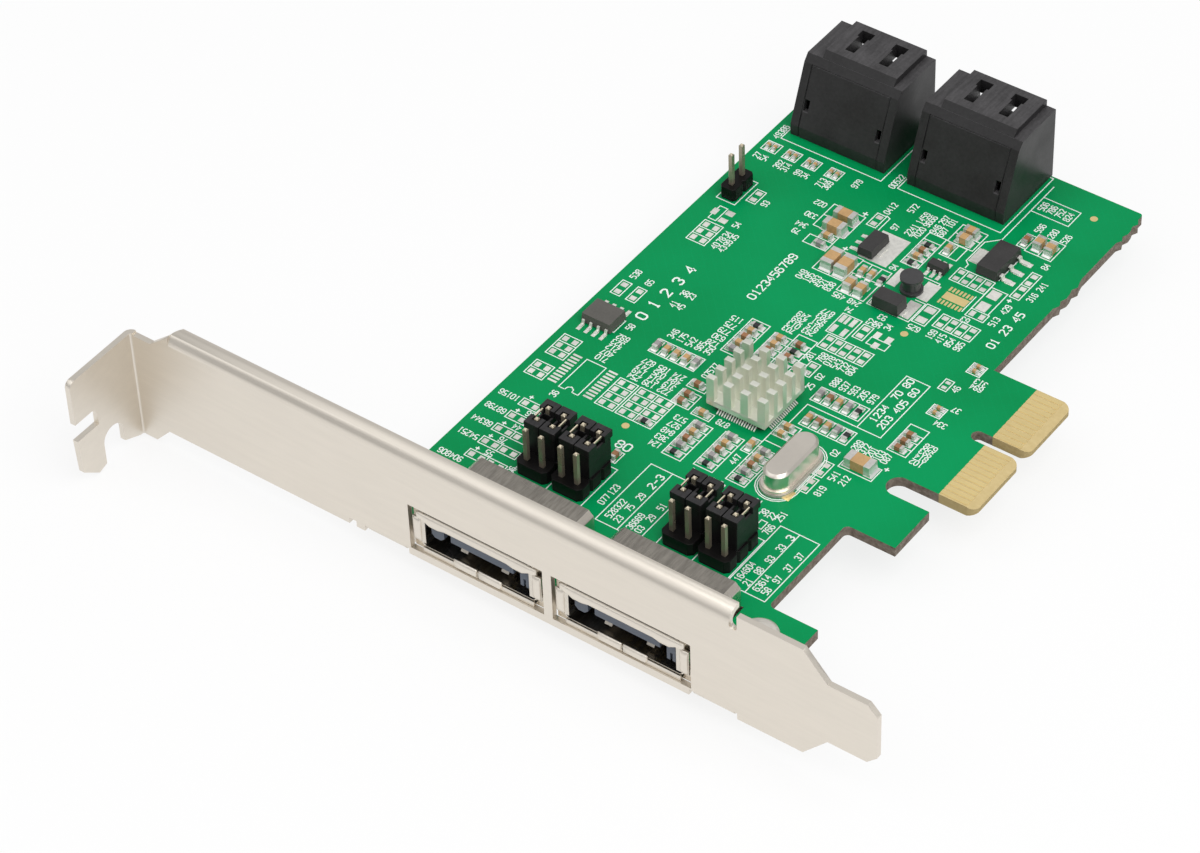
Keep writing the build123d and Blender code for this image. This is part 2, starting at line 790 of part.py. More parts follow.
def make_stack_housing(x, contacts):
    """A moulded stack: two mouths with L-shaped tongues, a raised roof and an open contact chamber."""
    half = stack_width / 2
    body = prism_x(stack_profile(stack_side_height, stack_bevel_depth / 2), x - half, x + half)
    crown_x = x + stack_crown_offset
    body += prism_x(stack_profile(stack_crown_height, stack_bevel_depth),
                    crown_x - stack_crown_width / 2, crown_x + stack_crown_width / 2)
    for port in range(2):
        low = board_top + cavity_floor + port * cavity_pitch
        cavity = area(x - cavity_width / 2, x + cavity_width / 2, low, low + cavity_height)
        body -= prism_y(cavity, stack_mouth - cavity_depth, stack_mouth + cut)
        left = x - tongue_blade_width / 2
        blade = area(left, left + tongue_blade_width, low + tongue_blade_rise,
                     low + tongue_blade_rise + tongue_blade_thickness)
        top = low + tongue_blade_rise + tongue_blade_thickness
        blade += area(left, left + tongue_key_width, top, top + tongue_key_rise)
        body += prism_y(blade, stack_mouth - cavity_depth, stack_mouth - tongue_setback)
    chamber = shape_of([
        (stack_front - cut, board_top - cut), (stack_chamber, board_top - cut),
        (stack_chamber, board_top + stack_slope_height),
        (stack_front + stack_slope_depth, board_top + stack_slope_height),
        (stack_front - cut, board_top + stack_foot_height),
    ])
    body -= prism_x(chamber, x - half + stack_wall, x + half - stack_wall)
    slot_floor = board_top + cavity_floor + cavity_pitch + cavity_height - latch_slot_depth
    for place in latch_slot_places:
        body -= prism_z(latch_slot(x + place), slot_floor, board_top + stack_crown_height + cut)
    for side in (-1, 1):
        peg = peg_outline(x + side * peg_spacing / 2, stack_mouth - peg_setback, peg_radius)
        body += prism_z(peg, board_underside - peg_depth, board_top)
    return body - contacts


def make_stack_cover(x):
    """The plate that closes a stack's contact chamber, with two snap windows."""
    half = stack_width / 2 - stack_wall - cover_clearance
    lean = math.atan2(stack_slope_height - stack_foot_height, stack_slope_depth)
    top = board_top + stack_slope_height - cover_clearance
    low = board_top + cover_clearance
    slope_run = (stack_slope_height - stack_foot_height - cover_clearance) / math.tan(lean)
    path = [(stack_front, low), (stack_front, board_top + stack_foot_height), (stack_front + slope_run, top)]
    plate = strip_of(path[::-1], cover_thickness)
    body = prism_x(plate, x - half, x + half)
    body -= block(x - half - cut, x + half + cut, stack_front - cut, stack_mouth, top, top + cut)
    for side in (-1, 1):
        edge = x + side * (half - snap_inset)
        inner = edge - side * snap_width
        body -= block(min(edge, inner), max(edge, inner), stack_front - cut, stack_chamber,
                      board_top + snap_rise, board_top + snap_rise + snap_height)
    return body


def pin(x, y):
    """One square pin with a tapered tip, from its solder tail to its top."""
    low = board_underside - pin_tail
    high = board_top + pin_rise
    body = block(x - pin_width / 2, x + pin_width / 2, y - pin_width / 2, y + pin_width / 2, low, high)
    return chamfer(body.edges().group_by(Axis.Z)[-1], pin_tip)


def pins_at(columns, rows):
    return [pin(x, y) for x in columns for y in rows]


def make_header(columns, rows, pins):
    """A header base: one chamfered square for each pin, run together, with the pins pressed in."""
    cell = chamfer(Rectangle(pin_pitch, pin_pitch).vertices(), header_corner)
    outline = area(columns[0], columns[-1] + pin_tip, rows[0], rows[-1])
    outline += [Pos(x, y) * cell for x in columns for y in rows]
    return prism_z(outline, board_top, board_top + header_height) - pins


def make_shunt(x):
    """A jumper shunt over the second and third pins of a column: a collar on a slimmer body."""
    middle = Pos(x, (header_rows_y[1] + header_rows_y[2]) / 2)
    low = board_top + header_height
    high = low + shunt_height
    body = middle * Rectangle(shunt_width - 2 * shunt_step, shunt_length - 2 * shunt_step)
    collar = middle * Rectangle(shunt_width, shunt_length)
    inner = middle * Rectangle(shunt_width - 2 * shunt_wall_side, shunt_length - 2 * shunt_wall_end)
    shunt = prism_z(body, low, high) + prism_z(collar, high - shunt_collar, high)
    return shunt - prism_z(inner, low - cut, high + cut)


def make_clip(x):
    """The spring strip in a shunt: a bridge with a leg against the inner side of each pin."""
    left = header_rows_y[1] + pin_width / 2
    right = header_rows_y[2] - pin_width / 2
    low = board_top + header_height + clip_low
    high = board_top + header_height + clip_top
    section = strip_of([(left, low), (left, high), (right, high), (right, low)][::-1], clip_sheet)
    return prism_x(section, x - clip_width / 2, x + clip_width / 2)


def moulded(x, y, length, width, low, height):
    """A moulded chip body with drafted sides."""
    base = Pos(x, y, low) * Rectangle(length, width)
    top = Pos(x, y, low + height) * Rectangle(length - 2 * moulded_draft, width - 2 * moulded_draft)
    return loft([base, top])


def gull_leads(places, edge, side, reach, width, thickness, rise, shoulder):
    """Leads that leave a body towards plus or minus Y, step down and lie on the board."""
    path = [(edge, board_top + rise), (edge + side * shoulder, board_top + rise),
            (edge + side * (shoulder + lead_slope), board_top + thickness),
            (edge + side * reach, board_top + thickness)]
    path = path if side < 0 else path[::-1]
    section = strip_of(path, thickness)
    return [prism_x(section, p - width / 2, p + width / 2) for p in places]


def centred(count, pitch):
    return [(i - (count - 1) / 2) * pitch for i in range(count)]


def turned(shapes, x, y, angle):
    """Shapes made about the Z axis, turned and moved to their place."""
    return [Pos(x, y) * Rot(0, 0, angle) * s for s in shapes]


def make_controller():
    low = board_top + chip_standoff
    outline = Pos(chip_x, chip_y) * chamfer(Rectangle(chip_size, chip_size).vertices(), chip_corner)
    return prism_z(outline, low, low + chip_height)


def make_controller_leads():
    """Fine leads on four sides: each slopes down from the body to its pad."""
    root = chip_size / 2
    tip = root + chip_lead_reach
    high = board_top + chip_lead_rise
    section = shape_of([
        (root, high - chip_lead_sheet), (tip, board_top), (tip, board_top + chip_lead_sheet), (root, high),
    ])
    row = [prism_x(section, place - chip_lead_width / 2, place + chip_lead_width / 2)
           for place in centred(chip_leads_per_side, chip_lead_pitch)]
    return [lead for quarter in range(4) for lead in turned(row, chip_x, chip_y, 90 * quarter)]


def make_heatsink():
    """A square base with rows of rectangular pins."""
    low = board_top + chip_standoff + chip_height + pad_thickness
    half = sink_size / 2
    sink = block(chip_x - half, chip_x + half, chip_y - half, chip_y + half, low, low + sink_base)
    for across in centred(sink_columns, sink_column_pitch):
        for along in centred(sink_rows, sink_row_pitch):
            x = chip_x + across
            y = chip_y + along
            sink += block(x - sink_pin_length / 2, x + sink_pin_length / 2, y - sink_pin_width / 2,
                          y + sink_pin_width / 2, low + sink_base, low + sink_base + sink_pin_rise)
    return sink


def slot_shape(x, y, length, width):
    """A stadium outline with its long axis along Y."""
    return Pos(x, y) * Rot(0, 0, 90) * SlotOverall(length, width)


def make_crystal_can():
    low = board_top + crystal_base_height
    flange = prism_z(slot_shape(crystal_x, crystal_y, crystal_flange_length, crystal_flange_width),
                     low, low + crystal_flange_height)
    can = prism_z(slot_shape(crystal_x, crystal_y, crystal_can_length, crystal_can_width),
                  low + crystal_flange_height, low + crystal_flange_height + crystal_can_height)
    return flange + chamfer(can.edges().group_by(Axis.Z)[-1], crystal_can_chamfer)


def make_inductor():
    """A wound drum core: two round flanges and a narrower winding."""
    waist = inductor_radius - inductor_waist
    profile = [
        (0, 0), (inductor_radius, 0), (inductor_radius, inductor_flange), (waist, inductor_flange),
        (waist, inductor_height - inductor_flange), (inductor_radius, inductor_height - inductor_flange),
        (inductor_radius, inductor_height), (0, inductor_height),
    ]
    drum = revolve(Plane.XZ * shape_of(profile), Axis.Z)
    return Pos(inductor_x, inductor_y, board_top) * drum


def chip_parts(letter):
    """Every chip part of one kind, each a plain block on the board."""
    length, width, height = {"r": small_resistor, "s": tiny_chip}.get(letter, small_chip)
    parts = []
    for x, y, step_x, step_y, axis, letters in chip_banks:
        size_x, size_y = (length, width) if axis == "X" else (width, length)
        for i, kind in enumerate(letters):
            if kind == letter:
                middle = Pos(x + i * step_x, y + i * step_y, board_top + height / 2)
                parts.append(middle * Box(size_x, size_y, height))
    return parts


def save_board_and_bracket():
    save("circuit_board", make_board())
    save("edge_contacts", make_edge_contacts())
    save("bracket", make_bracket())
    save("bracket_screws", [make_screw(x) for x in screw_places])


def save_ports():
    for number, x in enumerate(port_places, 1):
        contacts = port_contacts(x)
        save("esata_shell_%d" % number, make_shell(x))
        save("esata_insulator_%d" % number, make_port_insulator(x, contacts))
        save("esata_contacts_%d" % number, contacts)
    for number, x in enumerate(stack_places, 1):
        contacts = stack_contacts(x, 0) + stack_contacts(x, 1)
        save("sata_housing_%d" % number, make_stack_housing(x, contacts))
        save("sata_cover_%d" % number, make_stack_cover(x))
        save("sata_contacts_%d" % number, contacts)


def save_headers():
    for number, x in enumerate(header_places, 1):
        columns = [x + i * pin_pitch for i in range(header_columns)]
        pins = pins_at(columns, header_rows_y)
        save("jumper_header_%d" % number, make_header(columns, header_rows_y, pins))
        save("jumper_pins_%d" % number, pins)
    for number, x in enumerate(header_columns_x, 1):
        save("jumper_shunt_%d" % number, make_shunt(x))
    save("shunt_clips", [make_clip(x) for x in header_columns_x])
    pins = pins_at([small_header_x], small_rows_y)
    save("pin_header_base", make_header([small_header_x], small_rows_y, pins))
    save("pin_header_pins", pins)


def save_controller():
    save("controller_chip", make_controller())
    save("controller_leads", make_controller_leads())
    low = board_top + chip_standoff + chip_height
    half = chip_size / 2 - chip_corner
    save("thermal_pad", block(chip_x - half, chip_x + half, chip_y - half, chip_y + half,
                              low, low + pad_thickness))
    save("heatsink", make_heatsink())
    base = slot_shape(crystal_x, crystal_y, crystal_base_length, crystal_base_width)
    save("crystal_base", prism_z(base, board_top, board_top + crystal_base_height))
    save("crystal_can", make_crystal_can())


def save_moulded_chips():
    thin = moulded_lead_sheet
    save("flash_chip", moulded(flash_x, flash_y, flash_length, flash_width, board_top + chip_standoff,
                               flash_height))
    leads = []
    for side in (-1, 1):
        leads += gull_leads(centred(4, signal_pitch), side * flash_width / 2, side, flash_lead_reach,
                            flash_lead_width, thin, flash_height / 2, thin)
    save("flash_leads", turned(leads, flash_x, flash_y, 0))
    save("power_transistor", moulded(power_transistor_x, power_transistor_y, power_transistor_width,
                                     power_transistor_length, board_top + thin, power_transistor_height - thin))
    flat = []
    for place in centred(3, power_transistor_pitch):
        flat.append(block(-power_transistor_width / 2 - power_transistor_lead, -power_transistor_width / 2,
                          place - power_transistor_lead_width / 2, place + power_transistor_lead_width / 2,
                          board_top, board_top + thin))
    tab = block(-power_transistor_width / 2, power_transistor_width / 2 + power_transistor_lead / 2,
                -regulator_tab_width / 3, regulator_tab_width / 3, board_top, board_top + thin)
    save("power_transistor_leads", turned(flat + [tab], power_transistor_x, power_transistor_y, 0))
    save("regulator", moulded(regulator_x, regulator_y, regulator_width, regulator_length,
                              board_top + chip_standoff, regulator_height))
    leads = gull_leads(centred(3, regulator_pitch), regulator_width / 2, 1, regulator_lead_reach,
                       regulator_lead_width, thin, regulator_height / 2, 2 * thin)
    leads += gull_leads([0], -regulator_width / 2, -1, regulator_lead_reach,
                        regulator_tab_width, thin, regulator_height / 2, 2 * thin)
    save("regulator_leads", turned(leads, regulator_x, regulator_y, -90))
    save("converter_chip", moulded(converter_x, converter_y, converter_length, converter_width,
                                   board_top + chip_standoff, converter_height))
    leads = []
    for side in (-1, 1):
        leads += gull_leads(centred(3, converter_pitch), side * converter_width / 2, side,
                            converter_lead_reach, converter_lead_width, thin / 2, converter_height / 2, thin)
    save("converter_leads", turned(leads, converter_x, converter_y, 0))


def save_passive_parts():
    save("inductor", make_inductor())
    save("diode", moulded(diode_x, diode_y, diode_length, diode_width, board_top + moulded_lead_sheet,
                          diode_height - moulded_lead_sheet))
    ends = []
    for side in (-1, 1):
        inner = diode_x + side * (diode_length / 2 - 2 * diode_end_length)
        outer = diode_x + side * (diode_length / 2 + diode_end_length)
        ends.append(block(min(inner, outer), max(inner, outer), diode_y - diode_end_width / 2,
                          diode_y + diode_end_width / 2, board_top, board_top + moulded_lead_sheet))
    save("diode_ends", ends)
    large = [Pos(x, y, board_top + h / 2) * Box(a, b, h) for x, y, a, b, h in large_chips]
    save("large_capacitors", large)
    save("pale_capacitors", chip_parts("c") + chip_parts("s"))
    save("brown_capacitors", chip_parts("b"))
    save("resistors", chip_parts("r"))
    save("ferrites", chip_parts("f"))


save_board_and_bracket()
save_ports()
save_headers()
save_controller()
save_moulded_chips()
save_passive_parts()
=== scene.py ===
import math
import random

import bmesh
import bpy
from mathutils import Matrix, Vector


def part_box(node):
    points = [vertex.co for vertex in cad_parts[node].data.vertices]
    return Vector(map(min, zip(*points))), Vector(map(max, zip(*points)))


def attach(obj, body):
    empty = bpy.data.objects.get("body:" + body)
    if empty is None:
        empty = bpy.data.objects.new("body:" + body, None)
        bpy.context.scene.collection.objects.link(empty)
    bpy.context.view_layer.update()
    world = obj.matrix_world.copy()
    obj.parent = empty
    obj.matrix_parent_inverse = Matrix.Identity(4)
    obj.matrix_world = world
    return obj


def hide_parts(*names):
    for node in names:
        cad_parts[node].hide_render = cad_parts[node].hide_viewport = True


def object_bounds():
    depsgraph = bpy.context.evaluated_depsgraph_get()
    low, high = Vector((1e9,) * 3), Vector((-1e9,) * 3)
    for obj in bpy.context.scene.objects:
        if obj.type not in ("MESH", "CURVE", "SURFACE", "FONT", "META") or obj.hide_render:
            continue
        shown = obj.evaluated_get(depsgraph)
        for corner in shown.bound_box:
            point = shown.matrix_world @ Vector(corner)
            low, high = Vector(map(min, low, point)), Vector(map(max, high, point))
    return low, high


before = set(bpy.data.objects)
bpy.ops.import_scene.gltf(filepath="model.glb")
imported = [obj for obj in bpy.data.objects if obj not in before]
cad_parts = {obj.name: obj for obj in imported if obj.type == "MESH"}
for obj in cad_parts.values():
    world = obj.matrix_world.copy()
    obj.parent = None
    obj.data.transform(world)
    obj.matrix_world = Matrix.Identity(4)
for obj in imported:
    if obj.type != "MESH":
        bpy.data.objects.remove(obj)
cad_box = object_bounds()

# Places are written in the card's own millimetres: X along the bracket from its tab, Y from the
# bracket's outer face, Z up from the plate's lower edge. The bracket fixes where they lie.
MM = 0.001
TAB_REACH = 12.35
HOOK_DROP = 3.0
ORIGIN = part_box("bracket")[0] + Vector((0.0, TAB_REACH, HOOK_DROP)) * MM
BOARD_TOP = (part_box("circuit_board")[1].z - ORIGIN.z) / MM
BOARD_UNDERSIDE = (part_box("circuit_board")[0].z - ORIGIN.z) / MM
INK = 0.02
PAD = 0.03
PAD_TOP = BOARD_TOP + PAD
LINE = 0.145
RIBBON_STEP = 0.0007
RIBBON_CYCLE = 11
TOUCHING = 0.000002


def place(x, y, z):
    """A point of the card, in metres in the shared frame."""
    return ORIGIN + Vector((x, y, z)) * MM


def span(node):
    """The lowest and highest corner of a node in the card's millimetres."""
    low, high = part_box(node)
    return (low - ORIGIN) / MM, (high - ORIGIN) / MM


# Materials

def node_adder(tree):
    """A function that adds a node and sets or links its inputs, by name or as _ and their number."""
    def add(kind, settings=None, **inputs):
        node = tree.nodes.new("ShaderNode" + kind)
        for key, value in (settings or {}).items():
            setattr(node, key, value)
        for key, value in inputs.items():
            socket = node.inputs[int(key[1:])] if key[1:].isdigit() else node.inputs[key.replace("_", " ")]
            if isinstance(value, bpy.types.NodeSocket):
                tree.links.new(value, socket)
            else:
                socket.default_value = value
        return node

    return add


def node_material(name):
    """A new material with its shader node, the function that adds nodes to it and its links."""
    material = bpy.data.materials.new(name)
    material.use_nodes = True
    tree = material.node_tree
    return material, tree.nodes["Principled BSDF"], node_adder(tree), tree.links


def rgba(colour):
    return (*colour, 1.0)


def two_tones(add, factor, dark, light, start=0.0, end=1.0):
    """The colour between a dark and a light one, as a noise goes from start to end."""
    ramp = add("ValToRGB", Fac=factor)
    for element, position, colour in zip(ramp.color_ramp.elements, (start, end), (dark, light)):
        element.position = position
        element.color = rgba(colour)
    return ramp.outputs[0]


def mixed(add, factor, first, second, blend="MIX"):
    """The first colour where the factor is 0 and the second where it is 1."""
    settings = {"data_type": "RGBA", "blend_type": blend}
    return add("Mix", settings, Factor=factor, _6=first, _7=second).outputs[2]


def calculated(add, operation, first, second):
    return add("Math", {"operation": operation}, _0=first, _1=second).outputs[0]


# The broad noise of a finish against its fine noise, and the streaks on faces that look up, which also
# carry painted light: paler as a painted highlight, darker as painted shade
BROADER = 9
STREAK_STRETCH = (1.0, 0.12, 1.0)
STREAK_GRAIN = 2400.0
STREAK_VARY = 0.2
GRAIN_DEPTH = 0.00003


def surface(name, colour, roughness, metallic=0.0, vary=0.08, grain=900.0, bump=0.15, stretch=(1, 1, 1),
            rough_vary=0.08, specular=0.5, painted_top_light=1.0):
    """A finish with uneven colour and roughness and a fine grain.

    With a factor for faces that look up other than 1, those faces are streaky, and paler (a painted
    highlight) or darker (painted shade) by that factor, for how the light falls on them.
    """
    material, shader, add, links = node_material(name)
    where = add("TexCoord").outputs["Object"]
    mapping = add("Mapping", Vector=where, Scale=Vector(stretch))
    fine = add("TexNoise", Vector=mapping.outputs[0], Scale=grain, Detail=6.0, Roughness=0.6)
    broad = add("TexNoise", Vector=mapping.outputs[0], Scale=grain / BROADER, Detail=3.0, Roughness=0.5)
    both = calculated(add, "ADD", fine.outputs["Fac"], broad.outputs["Fac"])
    dark = [c * (1 - vary) for c in colour]
    light = [min(1.0, c * (1 + vary)) for c in colour]
    base = two_tones(add, calculated(add, "MULTIPLY", both, 0.5), dark, light, 0.35, 0.65)
    # Painted light: faces that look up are made paler or darker by a fixed factor, on top of their streaks
    if painted_top_light != 1.0:
        upright = add("SeparateXYZ", Vector=add("NewGeometry").outputs["Normal"])
        lying = add("MapRange", Value=upright.outputs[2], From_Min=0.7, From_Max=0.95)
        lines = add("Mapping", Vector=where, Scale=Vector(STREAK_STRETCH))
        streaks = add("TexNoise", Vector=lines.outputs[0], Scale=STREAK_GRAIN, Detail=4.0, Roughness=0.7)
        streaks_and_painted_light = add("MapRange", Value=streaks.outputs["Fac"], From_Min=0.35, From_Max=0.65,
                   To_Min=painted_top_light * (1 - STREAK_VARY), To_Max=painted_top_light * (1 + STREAK_VARY))
        base = mixed(add, lying.outputs[0], base, streaks_and_painted_light.outputs[0], "MULTIPLY")
    links.new(base, shader.inputs["Base Color"])
    shade = add("MapRange", Value=broad.outputs["Fac"], From_Min=0.3, From_Max=0.7,
                To_Min=max(0.02, roughness - rough_vary), To_Max=min(1.0, roughness + rough_vary))
    links.new(shade.outputs[0], shader.inputs["Roughness"])
    shader.inputs["Metallic"].default_value = metallic
    shader.inputs["Specular IOR Level"].default_value = specular
    relief = add("Bump", Strength=bump, Distance=GRAIN_DEPTH, Height=fine.outputs["Fac"])
    links.new(relief.outputs[0], shader.inputs["Normal"])
    return material


BOARD_GREEN = (0.0, 0.290, 0.090)
BOARD_GREEN_DEEP = (0.0, 0.245, 0.070)
TRACK_GREEN = (0.001, 0.345, 0.122)
TRACK_SHARE = 0.16
LAMINATE_DARK = (0.16, 0.125, 0.10)
LAMINATE_LIGHT = (0.36, 0.31, 0.26)
TAN_DARK = (0.50, 0.38, 0.17)
TAN_LIGHT = (0.66, 0.53, 0.28)
# Where the mask ends before the plug-in edge, and how far bare board goes past the contacts at each end
MASK_END = 100.2
MASK_MARGIN = 2.0


def board_finish():
    """Green mask over faint tracks on both faces; bare laminate on the cut edges and by the contacts."""
    material, shader, add, links = node_material("board_mask")
    where = add("TexCoord").outputs["Object"]
    fine = add("TexNoise", Vector=where, Scale=1500.0, Detail=5.0, Roughness=0.6).outputs["Fac"]
    broad = add("TexNoise", Vector=where, Scale=45.0, Detail=3.0, Roughness=0.5).outputs["Fac"]
    green = two_tones(add, broad, BOARD_GREEN_DEEP, BOARD_GREEN, 0.35, 0.68)
    turned = add("Mapping", Vector=where, Rotation=Vector((0, 0, math.radians(45))))
    tracks = add("TexBrick", {"offset": 0.37, "squash": 1.4}, Vector=turned.outputs[0], Scale=190.0,
                 Mortar_Size=0.012, Mortar_Smooth=0.6).outputs["Fac"]
    faint = add("MapRange", Value=tracks, To_Max=TRACK_SHARE).outputs[0]
    mask = mixed(add, faint, green, rgba(TRACK_GREEN))
    laminate = two_tones(add, fine, LAMINATE_DARK, LAMINATE_LIGHT, 0.3, 0.7)
    tan = two_tones(add, fine, TAN_DARK, TAN_LIGHT)
    across = add("SeparateXYZ", Vector=where).outputs
    low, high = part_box("edge_contacts")
    near_edge = calculated(add, "GREATER_THAN", across[0], place(MASK_END, 0, 0).x)
    behind = calculated(add, "GREATER_THAN", across[1], low.y - MASK_MARGIN * MM)
    before = calculated(add, "LESS_THAN", across[1], high.y + MASK_MARGIN * MM)
    bare = calculated(add, "MULTIPLY", near_edge, calculated(add, "MULTIPLY", behind, before))
    normal = add("SeparateXYZ", Vector=add("NewGeometry").outputs["Normal"])
    upright = add("Math", {"operation": "ABSOLUTE"}, _0=normal.outputs[2]).outputs[0]
    flat = calculated(add, "GREATER_THAN", upright, 0.9)
    whole = mixed(add, flat, mixed(add, bare, laminate, tan), mixed(add, bare, mask, tan))
    links.new(whole, shader.inputs["Base Color"])
    gloss = add("MapRange", Value=flat, To_Min=0.8, To_Max=0.34)
    links.new(gloss.outputs[0], shader.inputs["Roughness"])
    shader.inputs["Specular IOR Level"].default_value = 0.1
    height = add("Math", {"operation": "MULTIPLY_ADD"}, _0=tracks, _1=0.6, _2=fine)
    relief = add("Bump", Strength=0.12, Distance=0.00002, Height=height.outputs[0])
    links.new(relief.outputs[0], shader.inputs["Normal"])
    return material


# Each finish: its name, colour, roughness and whatever else isn't usual
FINISHES = {"board": board_finish()}
for finish_name, finish_colour, finish_roughness, others in (
    ("nickel", (0.785, 0.73, 0.65), 0.44,
     dict(metallic=1.0, vary=0.03, grain=500.0, bump=0.05, stretch=(0.25, 1, 2), rough_vary=0.04)),
    ("screw_steel", (0.84, 0.80, 0.73), 0.42, dict(metallic=0.8, vary=0.12, bump=0.3)),
    # Painted shade: the shells' faces that look up are darker than their sides
    ("shell_steel", (0.70, 0.65, 0.575), 0.27,
     dict(metallic=1.0, vary=0.06, grain=1500.0, bump=0.10, stretch=(0.4, 1, 1), painted_top_light=0.50)),
    ("insulator", (0.13, 0.155, 0.20), 0.45, dict(bump=0.1)),
    # Painted highlight: the housing roofs that look up are paler, for the sheen of the sky on them
    ("housing_black", (0.026, 0.025, 0.026), 0.36,
     dict(vary=0.25, grain=2200.0, bump=0.3, specular=0.26, painted_top_light=2.2)),
    ("header_black", (0.005, 0.0045, 0.0045), 0.42, dict(vary=0.25, grain=2500.0, bump=0.3, specular=0.16)),
    # Painted highlight: the shunt tops that look up are paler than their sides
    ("shunt_black", (0.012, 0.0115, 0.012), 0.38,
     dict(vary=0.25, grain=2500.0, bump=0.25, specular=0.25, painted_top_light=2.4)),
    # Painted highlight: the pin tips that look up are paler than their sides
    ("pin_metal", (0.38, 0.335, 0.25), 0.30, dict(metallic=0.6, vary=0.10, bump=0.05, painted_top_light=2.3)),
    ("gold", (0.97, 0.76, 0.36), 0.36, dict(metallic=0.8, vary=0.05, bump=0.06)),
    ("tin", (0.80, 0.79, 0.74), 0.38, dict(metallic=0.4, vary=0.16, grain=1800.0, bump=0.5)),
    ("end_metal", (0.76, 0.74, 0.70), 0.34, dict(metallic=0.75, vary=0.14, grain=2600.0, bump=0.6)),
    ("solder", (0.86, 0.85, 0.83), 0.30, dict(metallic=0.55, vary=0.10, grain=1800.0, bump=0.6)),
    ("epoxy", (0.040, 0.038, 0.038), 0.42, dict(vary=0.15, grain=3200.0, bump=0.35, specular=0.35)),
    # Painted reflection: the flash chip's epoxy is a paler copy of the other chips' black epoxy
    ("epoxy_pale", (0.108, 0.103, 0.094), 0.5, dict(vary=0.10, grain=3200.0, bump=0.3, specular=0.2)),
    ("pad_rubber", (0.32, 0.33, 0.34), 0.8, dict(bump=0.2)),
    ("sink_metal", (0.83, 0.84, 0.75), 0.34,
     dict(metallic=0.75, vary=0.05, grain=700.0, stretch=(1, 1, 0.3))),
    ("base_pale", (0.50, 0.47, 0.42), 0.35, dict(metallic=0.6, vary=0.05, bump=0.1)),
    ("can_steel", (0.84, 0.78, 0.70), 0.32, dict(metallic=1.0, vary=0.03, bump=0.02)),
    ("ferrite_core", (0.045, 0.044, 0.046), 0.38, dict(vary=0.15, grain=2200.0, bump=0.3)),
    ("pale_ceramic", (0.52, 0.32, 0.14), 0.42, dict(vary=0.14, grain=2600.0)),
    ("brown_ceramic", (0.31, 0.145, 0.065), 0.40, dict(vary=0.18, grain=2600.0)),
    ("grey_ferrite", (0.30, 0.28, 0.28), 0.5, dict(vary=0.12, grain=2600.0, bump=0.2)),
    ("resistor_black", (0.02, 0.02, 0.022), 0.3, dict(vary=0.2, bump=0.1)),
    ("ink", (0.83, 0.88, 0.85), 0.6, dict(vary=0.04, grain=3500.0, bump=0.3)),
):
    FINISHES[finish_name] = surface(finish_name, finish_colour, finish_roughness, **others)


# Meshes

def on_circle(x, y, radius, i, sides):
    """The place of one of a number of even steps round a circle."""
    angle = 2 * math.pi * i / sides
    return x + radius * math.cos(angle), y + radius * math.sin(angle)


# The faces of a solid with four corners at each end
BOX_FACES = [[0, 1, 2, 3], [7, 6, 5, 4], [0, 4, 5, 1], [1, 5, 6, 2], [2, 6, 7, 3], [3, 7, 4, 0]]


